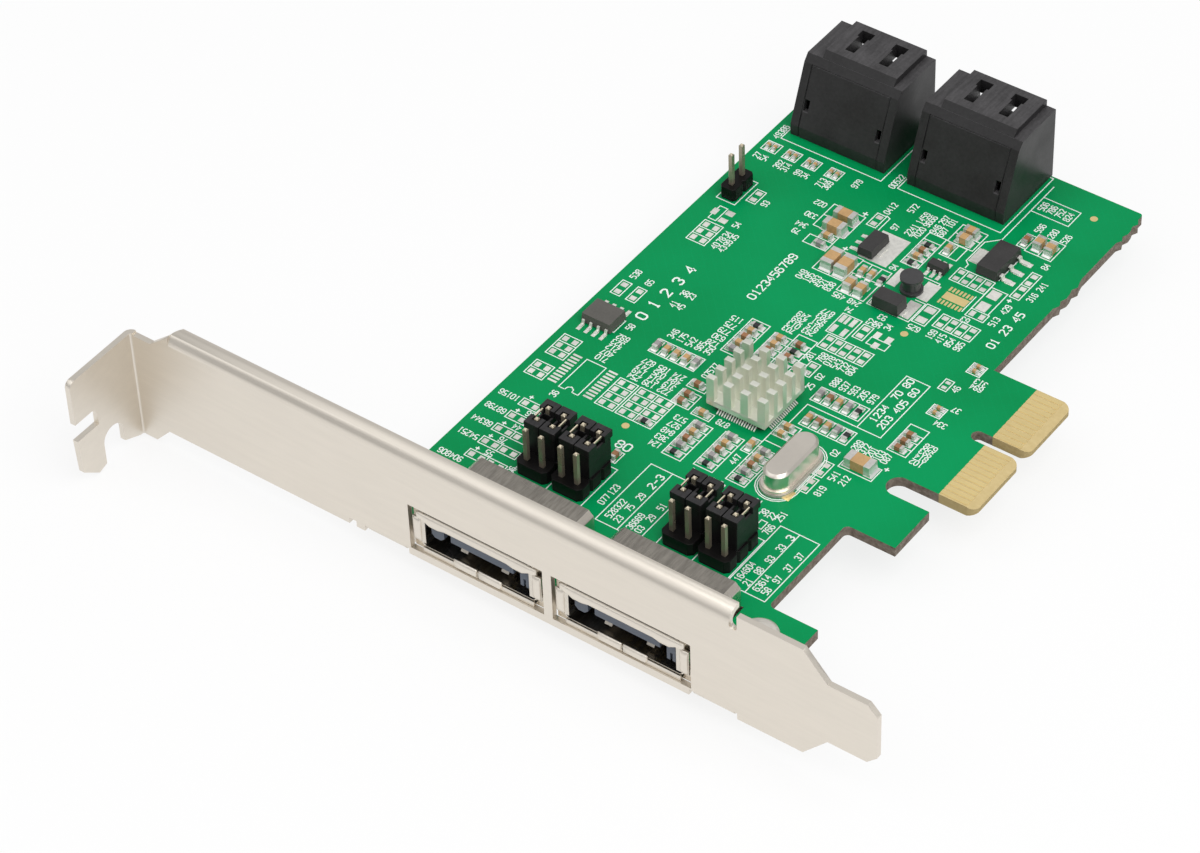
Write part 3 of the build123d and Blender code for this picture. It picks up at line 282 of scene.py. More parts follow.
class Shape:
    """Collects closed pieces of mesh in the card's millimetres and turns them into one object."""

    def __init__(self, name, slot, finishes):
        self.name = name
        self.slot = slot
        self.finishes = finishes
        self.points = []
        self.faces = []
        self.kinds = []
        self.ribbons = 0

    def add(self, points, faces, kind=0):
        start = len(self.points)
        self.points += points
        self.faces += [[start + i for i in face] for face in faces]
        self.kinds += [kind] * len(faces)

    def prism(self, outline, z0, z1, kind=0):
        """A right prism on an outline that runs anticlockwise."""
        count = len(outline)
        points = [(x, y, z0) for x, y in outline] + [(x, y, z1) for x, y in outline]
        faces = [list(range(count))[::-1], list(range(count, 2 * count))]
        faces += [[i, (i + 1) % count, count + (i + 1) % count, count + i] for i in range(count)]
        self.add(points, faces, kind)

    def block(self, x0, x1, y0, y1, z0, z1, kind=0):
        self.prism([(x0, y0), (x1, y0), (x1, y1), (x0, y1)], z0, z1, kind)

    def cone(self, x, y, low_radius, high_radius, z0, z1, sides):
        points = [(*on_circle(x, y, radius, i, sides), z)
                  for radius, z in ((low_radius, z0), (high_radius, z1)) for i in range(sides)]
        faces = [list(range(sides))[::-1], list(range(sides, 2 * sides))]
        faces += [[i, (i + 1) % sides, sides + (i + 1) % sides, sides + i] for i in range(sides)]
        self.add(points, faces)

    def ribbon(self, path, width=LINE, z0=BOARD_TOP, z1=BOARD_TOP + INK):
        """A flat bar of constant width along a path; the path is closed if it ends where it starts.

        Each bar is a hair higher than the last, so that crossing bars never share a face.
        """
        self.ribbons += 1
        z1 += RIBBON_STEP * (self.ribbons % RIBBON_CYCLE)
        closed = path[0] == path[-1]
        stops = path[:-1] if closed else path
        count = len(stops)
        points = []
        for i, (x, y) in enumerate(stops):
            before = stops[i - 1] if closed or i else None
            after = stops[(i + 1) % count] if closed or i < count - 1 else None
            ins = Vector((x - before[0], y - before[1])).normalized() if before else None
            outs = Vector((after[0] - x, after[1] - y)).normalized() if after else None
            along = ((ins or outs) + (outs or ins)).normalized()
            square = Vector((-along.y, along.x))
            reach = width / 2 / max(0.5, (ins or outs).dot(along))
            left = (x + square.x * reach, y + square.y * reach)
            right = (x - square.x * reach, y - square.y * reach)
            points += [(*right, z0), (*left, z0), (*left, z1), (*right, z1)]
        faces = []
        for i in range(count if closed else count - 1):
            a = 4 * i
            b = 4 * ((i + 1) % count)
            faces += [[a + 1, a, b, b + 1], [a + 2, a + 1, b + 1, b + 2],
                      [a + 3, a + 2, b + 2, b + 3], [a, a + 3, b + 3, b]]
        if not closed:
            end = 4 * (count - 1)
            faces += [[0, 1, 2, 3], [end + 3, end + 2, end + 1, end]]
        self.add(points, faces)

    def frame(self, x0, y0, x1, y1):
        self.ribbon([(x0, y0), (x1, y0), (x1, y1), (x0, y1), (x0, y0)])

    def mesh_object(self):
        """The bare object, without its place in the part."""
        mesh = bpy.data.meshes.new(self.name)
        mesh.from_pydata([place(*p) for p in self.points], [], self.faces)
        for finish in self.finishes:
            mesh.materials.append(FINISHES[finish])
        mesh.polygons.foreach_set("material_index", self.kinds)
        shape = bmesh.new()
        shape.from_mesh(mesh)
        bmesh.ops.recalc_face_normals(shape, faces=shape.faces)
        shape.to_mesh(mesh)
        shape.free()
        piece = bpy.data.objects.new(self.name, mesh)
        bpy.context.scene.collection.objects.link(piece)
        return piece

    def build(self, replaces=(), bevel=0.0, segments=2):
        piece = self.mesh_object()
        if bevel:
            round_edges(piece, bevel, segments)
        if replaces:
            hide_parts(*replaces)
        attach(piece, "root")
        return piece


def round_edges(piece, width, segments=2):
    """Soft edges for a hard shape, as a modifier."""
    weld = piece.modifiers.new("weld", "WELD")
    weld.merge_threshold = TOUCHING
    edges = piece.modifiers.new("edges", "BEVEL")
    edges.width = width * MM
    edges.segments = segments
    edges.limit_method = "ANGLE"
    edges.angle_limit = math.radians(38)
    edges.harden_normals = True


def dress(node, finish, bevel=0.0, segments=2):
    """Give a carried-over node its finish and, where wanted, soft edges."""
    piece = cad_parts[node]
    piece.data.materials.clear()
    piece.data.materials.append(FINISHES[finish])
    if bevel:
        round_edges(piece, bevel, segments)


def numbered(stem, count):
    return ["%s_%d" % (stem, i) for i in range(1, count + 1)]


HEADERS = numbered("jumper_header", 4)
SHUNTS = numbered("jumper_shunt", 8)
PINS = numbered("jumper_pins", 4) + ["pin_header_pins"]
SHELLS = numbered("esata_shell", 2)
STACKS = numbered("sata_housing", 2)
PORT_CONTACTS = numbered("esata_contacts", 2)
STACK_CONTACTS = numbered("sata_contacts", 2)


def solids_of(node):
    """The box of each separate solid of a node, in the card's millimetres."""
    shape = bmesh.new()
    shape.from_mesh(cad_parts[node].data)
    bmesh.ops.remove_doubles(shape, verts=shape.verts, dist=TOUCHING)
    waiting = set(shape.verts)
    boxes = []
    while waiting:
        found = [waiting.pop()]
        for vertex in found:
            for edge in vertex.link_edges:
                other = edge.other_vert(vertex)
                if other in waiting:
                    waiting.remove(other)
                    found.append(other)
        corners = [(v.co - ORIGIN) / MM for v in found]
        low = Vector([min(c[i] for c in corners) for i in range(3)])
        high = Vector([max(c[i] for c in corners) for i in range(3)])
        boxes.append((low, high))
    shape.free()
    return sorted(boxes, key=lambda b: (round(b[0].x, 3), round(b[0].y, 3)))


# Print: outlines, rulings and plain numbers

DIGITS = {
    "0": [[(1, 0), (0, 1), (0, 5), (1, 6), (3, 6), (4, 5), (4, 1), (3, 0), (1, 0)]],
    "1": [[(1, 5), (2, 6), (2, 0)], [(1, 0), (3, 0)]],
    "2": [[(0, 5), (1, 6), (3, 6), (4, 5), (4, 4), (0, 0), (4, 0)]],
    "3": [[(0, 5), (1, 6), (3, 6), (4, 5), (4, 4), (3, 3), (4, 2), (4, 1), (3, 0), (1, 0), (0, 1)],
          [(2, 3), (3, 3)]],
    "4": [[(3, 0), (3, 6), (0, 2), (4, 2)]],
    "5": [[(4, 6), (0, 6), (0, 3.5), (3, 3.5), (4, 2.5), (4, 1), (3, 0), (0, 0)]],
    "6": [[(4, 5), (3, 6), (1, 6), (0, 5), (0, 1), (1, 0), (3, 0), (4, 1), (4, 2.5), (3, 3.5), (0, 3.5)]],
    "7": [[(0, 6), (4, 6), (1.5, 0)]],
    "8": [[(1, 3), (0, 4), (0, 5), (1, 6), (3, 6), (4, 5), (4, 4), (3, 3), (1, 3), (0, 2), (0, 1), (1, 0),
           (3, 0), (4, 1), (4, 2), (3, 3)]],
    "9": [[(0, 1), (1, 0), (3, 0), (4, 1), (4, 5), (3, 6), (1, 6), (0, 5), (0, 4), (1, 3), (4, 3)]],
    "+": [[(0, 3), (4, 3)], [(2, 1), (2, 5)]],
    "-": [[(0, 3), (4, 3)]],
}
GLYPH_WIDTH = 4
GLYPH_HEIGHT = 6
GLYPH_ADVANCE = 5.6


def write(shape, text, x, y, turn, height=0.95, stroke=LINE, width=0.74):
    """Plain characters centred on a point, read at the given angle."""
    scale = height / GLYPH_HEIGHT
    length = (len(text) - 1) * GLYPH_ADVANCE + GLYPH_WIDTH
    cosine = math.cos(math.radians(turn))
    sine = math.sin(math.radians(turn))
    for i, character in enumerate(text):
        for line in DIGITS.get(character, ()):
            path = []
            for u, v in line:
                along = (u + i * GLYPH_ADVANCE - length / 2) * scale * width
                up = (v - GLYPH_HEIGHT / 2) * scale
                path.append((x + along * cosine - up * sine, y + along * sine + up * cosine))
            shape.ribbon(path, stroke)


# Fields printed round places for parts: left, front, right, back, columns, rows.
# The last letter says how the bare pads of an empty place lie in each cell, or that it is filled.
FIELDS = [
    (41.1, 37.9, 44.1, 42.4, 1, 3, "x"), (41.05, 33.1, 44.05, 36.1, 1, 2, "x"),
    (52.6, 33.5, 55.6, 39.5, 1, 4, "x"), (56.0, 33.5, 58.9, 39.5, 1, 4, "x"),
    (58.9, 33.5, 61.8, 39.5, 1, 4, "x"), (52.5, 46.0, 60.0, 48.85, 5, 1, ""),
    (60.85, 43.2, 63.8, 44.8, 1, 1, ""), (60.85, 39.4, 63.8, 42.5, 1, 2, ""),
    (64.5, 39.05, 67.4, 40.5, 1, 1, ""), (65.65, 30.7, 68.65, 38.3, 1, 5, ""),
    (70.4, 31.3, 73.4, 38.8, 1, 5, ""), (75.5, 31.4, 78.5, 38.9, 1, 5, ""),
    (75.5, 38.9, 78.5, 44.8, 1, 4, ""), (74.0, 37.0, 75.5, 39.9, 1, 1, ""),
    (77.5, 45.5, 85.0, 48.3, 5, 1, ""), (84.4, 38.6, 85.85, 41.6, 1, 1, "y"),
    (84.4, 35.0, 85.85, 38.0, 1, 1, "y"), (86.4, 41.65, 91.6, 44.3, 1, 1, ""),
    (89.9, 48.0, 92.85, 53.85, 1, 4, ""), (83.8, 26.2, 84.75, 27.7, 1, 1, ""),
    (60.3, 25.5, 61.8, 27.7, 1, 1, ""), (40.8, 89.95, 43.25, 92.05, 2, 1, ""),
    (44.4, 89.95, 46.65, 92.05, 2, 1, ""), (47.8, 89.95, 50.05, 92.05, 2, 1, ""),
    (51.65, 89.95, 53.85, 92.05, 2, 1, ""), (56.4, 80.25, 61.65, 85.6, 1, 2, ""),
    (57.15, 76.5, 60.95, 78.4, 1, 1, ""), (58.5, 78.4, 60.95, 79.9, 1, 1, ""),
    (61.4, 72.6, 64.05, 77.9, 1, 1, ""), (64.05, 72.6, 66.4, 77.9, 1, 1, ""),
    (66.4, 74.85, 71.2, 77.75, 3, 1, ""), (66.7, 70.7, 71.1, 74.85, 2, 1, ""),
    (45.6, 79.3, 47.15, 82.2, 1, 1, "y"), (43.25, 68.0, 46.35, 72.7, 1, 3, "x"),
    (41.2, 52.8, 42.75, 55.85, 1, 1, "y"), (43.8, 52.8, 45.3, 55.85, 1, 1, "y"),
    (60.56, 51.65, 63.5, 59.3, 1, 5, ""), (64.75, 52.75, 67.65, 58.7, 1, 4, ""),
    (67.65, 52.75, 70.65, 60.2, 1, 5, ""), (70.65, 52.7, 72.05, 55.6, 1, 1, ""),
    (72.05, 53.8, 73.6, 56.65, 1, 1, "y"), (70.2, 62.85, 73.3, 67.2, 1, 1, ""),
    (73.8, 63.9, 75.4, 66.9, 1, 1, "y"), (76.1, 63.85, 79.1, 65.35, 1, 1, ""),
    (70.9, 59.6, 78.35, 62.5, 5, 1, "y"), (76.1, 50.3, 83.8, 53.2, 5, 1, ""),
    (89.0, 61.75, 90.3, 63.95, 1, 1, "y"), (90.4, 66.6, 92.5, 68.75, 1, 2, ""),
    (90.4, 56.75, 92.5, 58.85, 1, 2, ""), (78.7, 71.1, 80.8, 75.2, 1, 1, "y"),
    (81.6, 71.85, 87.6, 74.75, 4, 1, "y"), (84.1, 76.2, 87.0, 77.85, 1, 1, "x"),
    (78.3, 81.2, 84.05, 84.05, 4, 1, "y"), (87.1, 82.8, 88.6, 88.8, 1, 2, "y"),
    (70.8, 80.5, 73.6, 87.95, 1, 5, ""), (73.75, 87.9, 77.85, 92.0, 1, 2, ""),
    (74.3, 84.9, 77.1, 87.8, 2, 1, ""), (82.2, 92.4, 83.7, 95.4, 1, 1, ""),
    (83.7, 92.1, 87.95, 96.1, 2, 1, ""), (62.5, 84.5, 64.0, 87.4, 1, 1, "y"),
]

# Other outlines, as open or closed paths
OUTLINES = [
    [(76.4, 44.5), (76.4, 49.3), (88.05, 49.3), (88.05, 61.4), (84.3, 61.4), (84.3, 49.3)],
    [(79.95, 106.0), (79.95, 92.3), (78.25, 90.5), (78.2, 85.8), (78.9, 85.2), (78.9, 84.4)],
    [(84.2, 89.6), (84.2, 84.8), (80.8, 84.8)],
    [(80.0, 99.8), (86.07, 99.8), (86.07, 103.25), (80.0, 103.25)],
    [(46.0, 46.35), (46.5, 46.35), (46.5, 49.1), (46.0, 49.1)],
    [(47.6, 33.4), (46.7, 33.4), (46.7, 39.9), (49.9, 39.9), (49.9, 33.4), (49.0, 33.4)],
    [(48.9, 33.4), (48.8, 33.95), (48.3, 34.25), (47.8, 33.95), (47.7, 33.4)],
    [(84.1, 77.85), (84.1, 83.0), (86.75, 83.0), (86.75, 77.85)],
    [(83.4, 80.2), (83.4, 76.5)],
    [(72.3, 79.6), (77.9, 79.6), (77.9, 79.0)],
    [(71.7, 75.1), (71.7, 70.65), (78.5, 70.65), (78.5, 75.0), (76.8, 75.0)],
    [(43.3, 73.3), (44.6, 73.3), (44.6, 76.3), (43.3, 76.3), (43.3, 73.3)],
    [(64.6, 84.3), (64.6, 87.3), (63.9, 87.6)],
]

# Two ruled tables that explain the jumpers: left, divider, right, front, back
TABLES = [(65.8, 69.3, 72.7, 15.6, 28.15), (86.5, 89.5, 92.6, 15.6, 28.15)]

# Numbers beside the parts: centre, digits, angle, and for a row of them the step and how many
LABELS = [
    (48.25, 46.1, 3, 180, 0, -1.24, 5), (54.0, 44.1, 3, 180, 0, -1.17, 4),
    (56.5, 44.1, 3, 180, 0, -1.17, 4), (59.0, 44.1, 3, 180, 0, -1.17, 4),
    (64.0, 37.4, 3, 180, 0, -1.46, 5), (47.75, 48.5, 2, 90), (47.05, 31.9, 2, 90),
    (53.4, 50.7, 3, 90, 1.5, 0, 5), (61.9, 47.4, 5, 90), (42.2, 28.3, 5, 180, 0, -3.03, 4),
    (42.7, 14.6, 6, 180), (46.85, 26.8, 2, 180, 0, -3.03, 4), (51.2, 16.8, 2, 90),
    (64.6, 19.2, 3, 90, 0, 2.2, 2), (86.3, 46.4, 3, 90, 1.15, 0, 5), (84.7, 43.5, 2, 90),
    (87.05, 39.8, 3, 90, 1.6, 0, 2), (87.1, 36.4, 3, 90), (69.2, 39.8, 3, 180), (74.5, 35.1, 3, 90),
    (85.6, 26.7, 3, 90, 0, 2.9, 2), (83.3, 29.0, 2, 90, 1.25, 0, 2), (41.3, 88.4, 2, 90, 1.2, 0, 2),
    (45.0, 88.4, 3, 90, 1.25, 0, 2), (48.3, 88.4, 2, 90, 1.25, 0, 2), (52.2, 88.4, 3, 90, 1.15, 0, 2),
    (56.6, 91.0, 3, 90), (66.1, 91.0, 3, 90), (54.7, 84.6, 3, 180), (55.0, 81.8, 3, 180, 0, -2.4, 2),
    (55.2, 77.8, 2, 180), (48.3, 80.2, 2, 90), (47.6, 74.2, 2, 90), (47.6, 71.8, 2, 90, 0, -1.45, 3),
    (48.8, 71.8, 2, 90, 0, -1.45, 3), (42.0, 57.8, 3, 90), (44.6, 57.4, 2, 90),
    (58.9, 57.9, 3, 180, 0, -1.45, 5), (60.9, 70.7, 3, 90, 1.18, 0, 5), (67.7, 69.8, 3, 180, 2.5, 0, 2),
    (70.5, 68.2, 2, 180), (65.95, 63.7, 3, 180, 0, -1.17, 4), (68.4, 66.1, 3, 180, 0, -1.2, 5),
    (75.1, 69.4, 2, 180), (74.3, 67.8, 2, 90, 1.1, 0, 2), (76.9, 68.2, 2, 90),
    (72.8, 58.1, 3, 90, 1.2, 0, 5), (71.3, 57.4, 3, 90), (77.1, 55.0, 3, 90, 1.5, 0, 5),
    (74.7, 54.7, 2, 90, 0, -2.3, 2), (91.2, 62.9, 2, 90), (93.3, 65.8, 3, 180, 0, -1.15, 2),
    (93.5, 59.4, 2, 180), (93.2, 55.9, 3, 180), (94.6, 51.4, 3, 180, 0, -1.15, 4),
    (83.1, 97.3, 3, 90, 2.1, 0, 3), (88.0, 90.8, 2, 90), (89.85, 86.9, 3, 90, 0, -2.6, 2),
    (88.2, 80.2, 3, 90, 0, -3.0, 2), (84.7, 75.3, 2, 180), (71.1, 91.3, 3, 90, 1.2, 0, 2),
    (71.1, 89.0, 3, 90, 1.2, 0, 2), (68.4, 90.0, 4, 90, 1.2, 0, 2), (68.4, 87.0, 4, 90, 1.2, 0, 2),
    (66.2, 86.2, 2, 90), (63.5, 89.2, 4, 90), (70.7, 79.0, 2, 90), (79.8, 70.0, 3, 180),
    (82.5, 70.3, 3, 90, 1.47, 0, 4), (66.9, 18.7, 6, 90), (70.4, 18.2, 5, 90), (87.4, 18.7, 6, 90),
    (90.4, 18.2, 5, 90), (68.3, 17.3, 2, 90, 0, 2.5, 3), (71.7, 17.3, 2, 90, 0, 2.5, 3),
    (88.8, 17.3, 2, 90, 0, 2.5, 4), (91.7, 17.3, 2, 90, 0, 2.5, 4), (41.2, 94.6, 5, 90),
    (61.0, 94.6, 5, 90), (49.9, 58.3, 2, 90, 1.15, 0, 2), (49.9, 55.7, 2, 90, 1.15, 0, 2),
    (71.4, 30.4, 1, 90, 2.6, 0, 2), (75.3, 30.4, 1, 90), (80.0, 30.4, 1, 90, 1.4, 0, 2),
    (81.0, 101.55, 3, 90, 1.36, 0, 4),
]

# Larger or longer runs of plain numbers: centre, text, angle, height, stroke
NUMBERS = [
    (60.8, 28.9, "08", 180, 1.35, 0.22), (68.3, 25.7, "2-3", 90, 1.05, 0.19),
    (88.8, 27.0, "3", 90, 1.05, 0.19), (86.9, 55.4, "203 405 60", 90, 1.0, 0.18),
    (85.3, 58.9, "70 80", 90, 1.0, 0.18), (85.3, 53.2, "1234", 90, 1.0, 0.18),
    (47.7, 57.0, "0 1 2 3 4", 90, 1.55, 0.27), (57.9, 68.0, "0123456789", 90, 1.2, 0.2),
    (90.4, 76.6, "01 23 45", 90, 1.15, 0.2), (45.0, 29.6, "+", 180, 1.0, 0.19),
    (45.0, 26.5, "+", 180, 1.0, 0.19), (45.0, 23.5, "+", 180, 1.0, 0.19),
    (45.0, 20.5, "+", 180, 1.0, 0.19),
    (45.0, 17.6, "+", 180, 1.0, 0.19), (92.1, 44.7, "+", 180, 1.1, 0.2), (61.2, 86.25, "+", 180, 1.3, 0.2),
    (63.0, 78.5, "+", 180, 1.3, 0.2), (87.6, 82.0, "+", 180, 1.1, 0.2),
]


BOARD_REAR = 107.85
STADIUM_STEPS = 10
HEADER_MARGIN = (0.3, 0.35)
STACK_MARGIN = (0.55, 1.6, 0.4)
CRYSTAL_MARGINS = (0.25, 0.55)
STRIPS = [15.6 + 2.98 * strip for strip in range(5)]
STRIP_WIDTH = 1.45
STRIP_LEFT = 44.25
STRIP_LENGTH = 6.15
PAD_INSET = 0.3
PAD_SHARE = 0.34
PAD_DROP = 0.006


def cells(field):
    """The left, front, right and back of each cell of a printed field."""
    x0, y0, x1, y1, columns, rows = field[:6]
    wide = (x1 - x0) / columns
    deep = (y1 - y0) / rows
    return [(x0 + i * wide, y0 + j * deep, x0 + (i + 1) * wide, y0 + (j + 1) * deep)
            for i in range(columns) for j in range(rows)]


def make_print():
    ink = Shape("white_print", "laminate", ["ink"])
    for x0, y0, x1, y1, columns, rows, _ in FIELDS:
        ink.frame(x0, y0, x1, y1)
        for i in range(1, columns):
            x = x0 + (x1 - x0) * i / columns
            ink.ribbon([(x, y0), (x, y1)])
        for j in range(1, rows):
            y = y0 + (y1 - y0) * j / rows
            ink.ribbon([(x0, y), (x1, y)])
    for path in OUTLINES:
        ink.ribbon(path)
    for left, divider, right, front, back in TABLES:
        ink.frame(left, front, right, back)
        ink.ribbon([(divider, front), (divider, back)])
    for node in HEADERS + ["pin_header_base"]:
        corner, far = span(node)
        ink.frame(corner.x - HEADER_MARGIN[0], corner.y - HEADER_MARGIN[1],
                  far.x + HEADER_MARGIN[0], far.y + HEADER_MARGIN[1])
    for node in STACKS:
        corner, far = span(node)
        ink.frame(corner.x - STACK_MARGIN[0], corner.y - STACK_MARGIN[1],
                  far.x + STACK_MARGIN[0], BOARD_REAR - STACK_MARGIN[2])
    corner, far = span("crystal_base")
    for margin in CRYSTAL_MARGINS:
        ink.ribbon(stadium(corner.x - margin, corner.y - margin, far.x + margin, far.y + margin))
    draw = random.Random(24)
    for x, y, digits, turn, *row in LABELS:
        step_x, step_y, count = row or (0, 0, 1)
        for i in range(count):
            text = "".join(draw.choice("0123456789") for _ in range(digits))
            write(ink, text, x + i * step_x, y + i * step_y, turn)
    for x, y, text, turn, height, stroke in NUMBERS:
        write(ink, text, x, y, turn, height, stroke, 1.0)
    for front in STRIPS:
        ink.frame(STRIP_LEFT, front, STRIP_LEFT + STRIP_LENGTH, front + STRIP_WIDTH)
        middle = STRIP_LEFT + STRIP_LENGTH / 2
        ink.ribbon([(middle, front), (middle, front + STRIP_WIDTH)])
    ink.build()


def stadium(x0, y0, x1, y1):
    """A closed path with round ends along Y."""
    radius = (x1 - x0) / 2
    middle = (x0 + x1) / 2
    path = []
    for centre, start in ((y1 - radius, 0), (y0 + radius, math.pi)):
        for i in range(STADIUM_STEPS + 1):
            angle = start + math.pi * i / STADIUM_STEPS
            path.append((middle + radius * math.cos(angle), centre + radius * math.sin(angle)))
    return path + [path[0]]


def pad_pair(shape, cell, axis):
    """Two bare pads in a cell."""
    x0, y0, x1, y1 = cell
    x0 += PAD_INSET
    x1 -= PAD_INSET
    y0 += PAD_INSET
    y1 -= PAD_INSET
    if axis == "x":
        reach = (x1 - x0) * PAD_SHARE
        shape.block(x0, x0 + reach, y0, y1, BOARD_TOP, PAD_TOP)
        shape.block(x1 - reach, x1, y0, y1, BOARD_TOP, PAD_TOP)
    else:
        reach = (y1 - y0) * PAD_SHARE
        shape.block(x0, x1, y0, y0 + reach, BOARD_TOP, PAD_TOP)
        shape.block(x0, x1, y1 - reach, y1, BOARD_TOP, PAD_TOP)


# Single bare pads: left, front, right, back
BARE_PADS = [
    (42.9, 74.3, 43.8, 75.6), (44.85, 75.15, 46.1, 76.15), (44.85, 73.35, 46.1, 74.35),
    (70.45, 65.4, 71.1, 67.0), (71.3, 65.4, 71.75, 67.0), (72.15, 65.4, 72.85, 67.0),
    (70.4, 63.1, 71.15, 64.7), (72.15, 63.1, 72.85, 64.7), (76.1, 65.45, 77.0, 66.65),
    (77.95, 65.45, 78.9, 66.65), (77.0, 63.5, 77.9, 64.7), (84.5, 80.9, 86.1, 82.7),
    (84.5, 78.05, 86.1, 79.9), (65.2, 78.3, 69.8, 84.7), (71.6, 75.6, 73.0, 79.4),
    (76.3, 75.4, 78.4, 79.2), (71.9, 70.9, 73.3, 72.6), (76.4, 71.0, 78.2, 74.6),
]

# Two rows of narrow pads for a chip that isn't fitted
EMPTY_ROWS = ((44.55, 46.0), (50.5, 51.95))
EMPTY_LAST = 39.7
EMPTY_STEP = 0.65
EMPTY_COUNT = 10
EMPTY_HALF = 0.17

# Pads of the leads: chip, axis that the leads lie along, reach under the lead and in front of it
LEAD_PADS = {
    "flash_leads": ("flash_chip", 1, 0.75, 0.55),
    "converter_leads": ("converter_chip", 1, 0.75, 0.55),
    "regulator_leads": ("regulator", 0, 0.9, 0.5),
    "power_transistor_leads": ("power_transistor", 0, 0.9, 0.5),
}
LEAD_SIDE = 0.08


def make_bare_pads():
    pads = Shape("bare_pads", "tinned_lead", ["tin"])
    for field in FIELDS:
        if field[6]:
            for cell in cells(field):
                pad_pair(pads, cell, field[6])
    for x0, y0, x1, y1 in BARE_PADS:
        pads.block(x0, x1, y0, y1, BOARD_TOP, PAD_TOP)
    for i in range(EMPTY_COUNT):
        y = EMPTY_LAST - EMPTY_STEP * i
        for x0, x1 in EMPTY_ROWS:
            pads.block(x0, x1, y - EMPTY_HALF, y + EMPTY_HALF, BOARD_TOP, PAD_TOP)
    for front in STRIPS:
        middle = STRIP_LEFT + STRIP_LENGTH / 2
        pad_pair(pads, (STRIP_LEFT, front, middle, front + STRIP_WIDTH), "x")
        pad_pair(pads, (middle, front, STRIP_LEFT + STRIP_LENGTH, front + STRIP_WIDTH), "x")
    for node, (chip_node, axis, under, beyond) in LEAD_PADS.items():
        chip_low, chip_high = span(chip_node)
        for low, high in solids_of(node):
            if low[axis] > (chip_low[axis] + chip_high[axis]) / 2:
                reach = (high[axis] - under, high[axis] + beyond)
            else:
                reach = (low[axis] - beyond, low[axis] + under)
            sides = (low[1 - axis] - LEAD_SIDE, high[1 - axis] + LEAD_SIDE)
            across, along = (sides, reach) if axis else (reach, sides)
            pads.block(*across, *along, BOARD_TOP, PAD_TOP - PAD_DROP)
    pads.build()


FIDUCIALS = ((88.2, 103.2), (79.4, 68.3), (58.7, 32.2))
FIDUCIAL_RADIUS = 0.55
FIDUCIAL_SIDES = 28
# Left, right, front, back and height of the two larger gold pads
GOLD_PADS = ((82.3, 84.75, 32.45, 34.3, 2 * PAD), (79.5, 83.2, 77.4, 78.9, PAD))
GOLD_FIRST = 79.65
GOLD_STEP = 0.56
GOLD_COUNT = 7
GOLD_HALF = 0.16
GOLD_ROWS = ((76.25, 77.15), (79.15, 80.05))


def make_gold():
    gold = Shape("gold_marks", "gold", ["gold"])
    for x, y in FIDUCIALS:
        gold.cone(x, y, FIDUCIAL_RADIUS, FIDUCIAL_RADIUS, BOARD_TOP, PAD_TOP, FIDUCIAL_SIDES)
    for x0, x1, y0, y1, height in GOLD_PADS:
        gold.block(x0, x1, y0, y1, BOARD_TOP, BOARD_TOP + height)
    for i in range(GOLD_COUNT):
        x = GOLD_FIRST + i * GOLD_STEP
        for front, back in GOLD_ROWS:
            gold.block(x - GOLD_HALF, x + GOLD_HALF, front, back, BOARD_TOP, PAD_TOP)
    gold.build()


# Chip parts: a ceramic body between two tinned ends, soldered to two pads

END_SHARE = 0.24
END_SWELL = 0.015
PAD_REACH = 0.42
PAD_SIDE = 0.08
FILLET_RISE = 0.62
FILLET_INSET = 0.02
FOOT_INSET = 0.06
KNEE_REACH = 0.3
KNEE_RISE = 0.2
# Each kind of chip part: its node, slot and finish
CHIP_KINDS = (
    ("pale_capacitors", "pale_ceramic", "pale_ceramic"),
    ("brown_capacitors", "brown_ceramic", "brown_ceramic"),
    ("large_capacitors", "pale_ceramic", "pale_ceramic"),
    ("resistors", "resistor_film", "resistor_black"),
    ("ferrites", "grey_ferrite", "grey_ferrite"),
)


def chip(shape, low, high):
    """One chip part in the box of its solid."""
    size = high - low
    axis = 0 if size.x > size.y else 1
    start, end = low[axis], high[axis]
    side0, side1 = low[1 - axis], high[1 - axis]
    cap = (end - start) * END_SHARE

    def lengthwise(a, b, front, back, z0, z1, kind):
        ends, sides = sorted((a, b)), (front, back)
        across, along = (sides, ends) if axis else (ends, sides)
        shape.block(*across, *along, z0, z1, kind)

    lengthwise(start + cap, end - cap, side0 + END_SWELL, side1 - END_SWELL,
               low.z + END_SWELL, high.z - END_SWELL, 0)
    for outer, sign in ((start, -1), (end, 1)):
        inner = outer - sign * cap
        reach = outer + sign * PAD_REACH
        lengthwise(inner, outer, side0, side1, low.z, high.z, 1)
        lengthwise(inner, reach, side0 - PAD_SIDE, side1 + PAD_SIDE, BOARD_TOP, PAD_TOP, 2)
        profile = [(outer, PAD_TOP), (reach - sign * FOOT_INSET, PAD_TOP),
                   (outer + sign * PAD_REACH * KNEE_REACH, BOARD_TOP + size.z * KNEE_RISE),
                   (outer, low.z + size.z * FILLET_RISE)]
        points = [(side, a, z) if axis else (a, side, z)
                  for side in (side0 + FILLET_INSET, side1 - FILLET_INSET) for a, z in profile]
        shape.add(points, BOX_FACES, 2)


def make_chips():
    for node, slot, finish in CHIP_KINDS:
        shape = Shape(node + "_soldered", slot, [finish, "end_metal", "solder"])
        for low, high in solids_of(node):
            chip(shape, low, high)
        shape.build(replaces=[node], bevel=0.035)


# Jumpers

HEADER_SLOT = "header_plastic"
HEADER_ROWS = 3
HEADER_CORNER = 0.62
HEADER_NOTCH = 0.35
SHUNT_STEP = 0.2
SHUNT_WELL = 3.0
SHUNT_WALL = 0.35
SHUNT_LAP = 0.01
CAP_HEIGHT = 1.2
CAP_SINK = 0.15
CAP_START = 0.88
CAP_SLOT = 0.52
CAP_SLOT_END = 1.75
CLIP_PLACE = 0.66
CLIP_HALF = 0.1
CLIP_LENGTH = 1.25
CLIP_DEPTH = 0.42
CLIP_DROP = 0.12


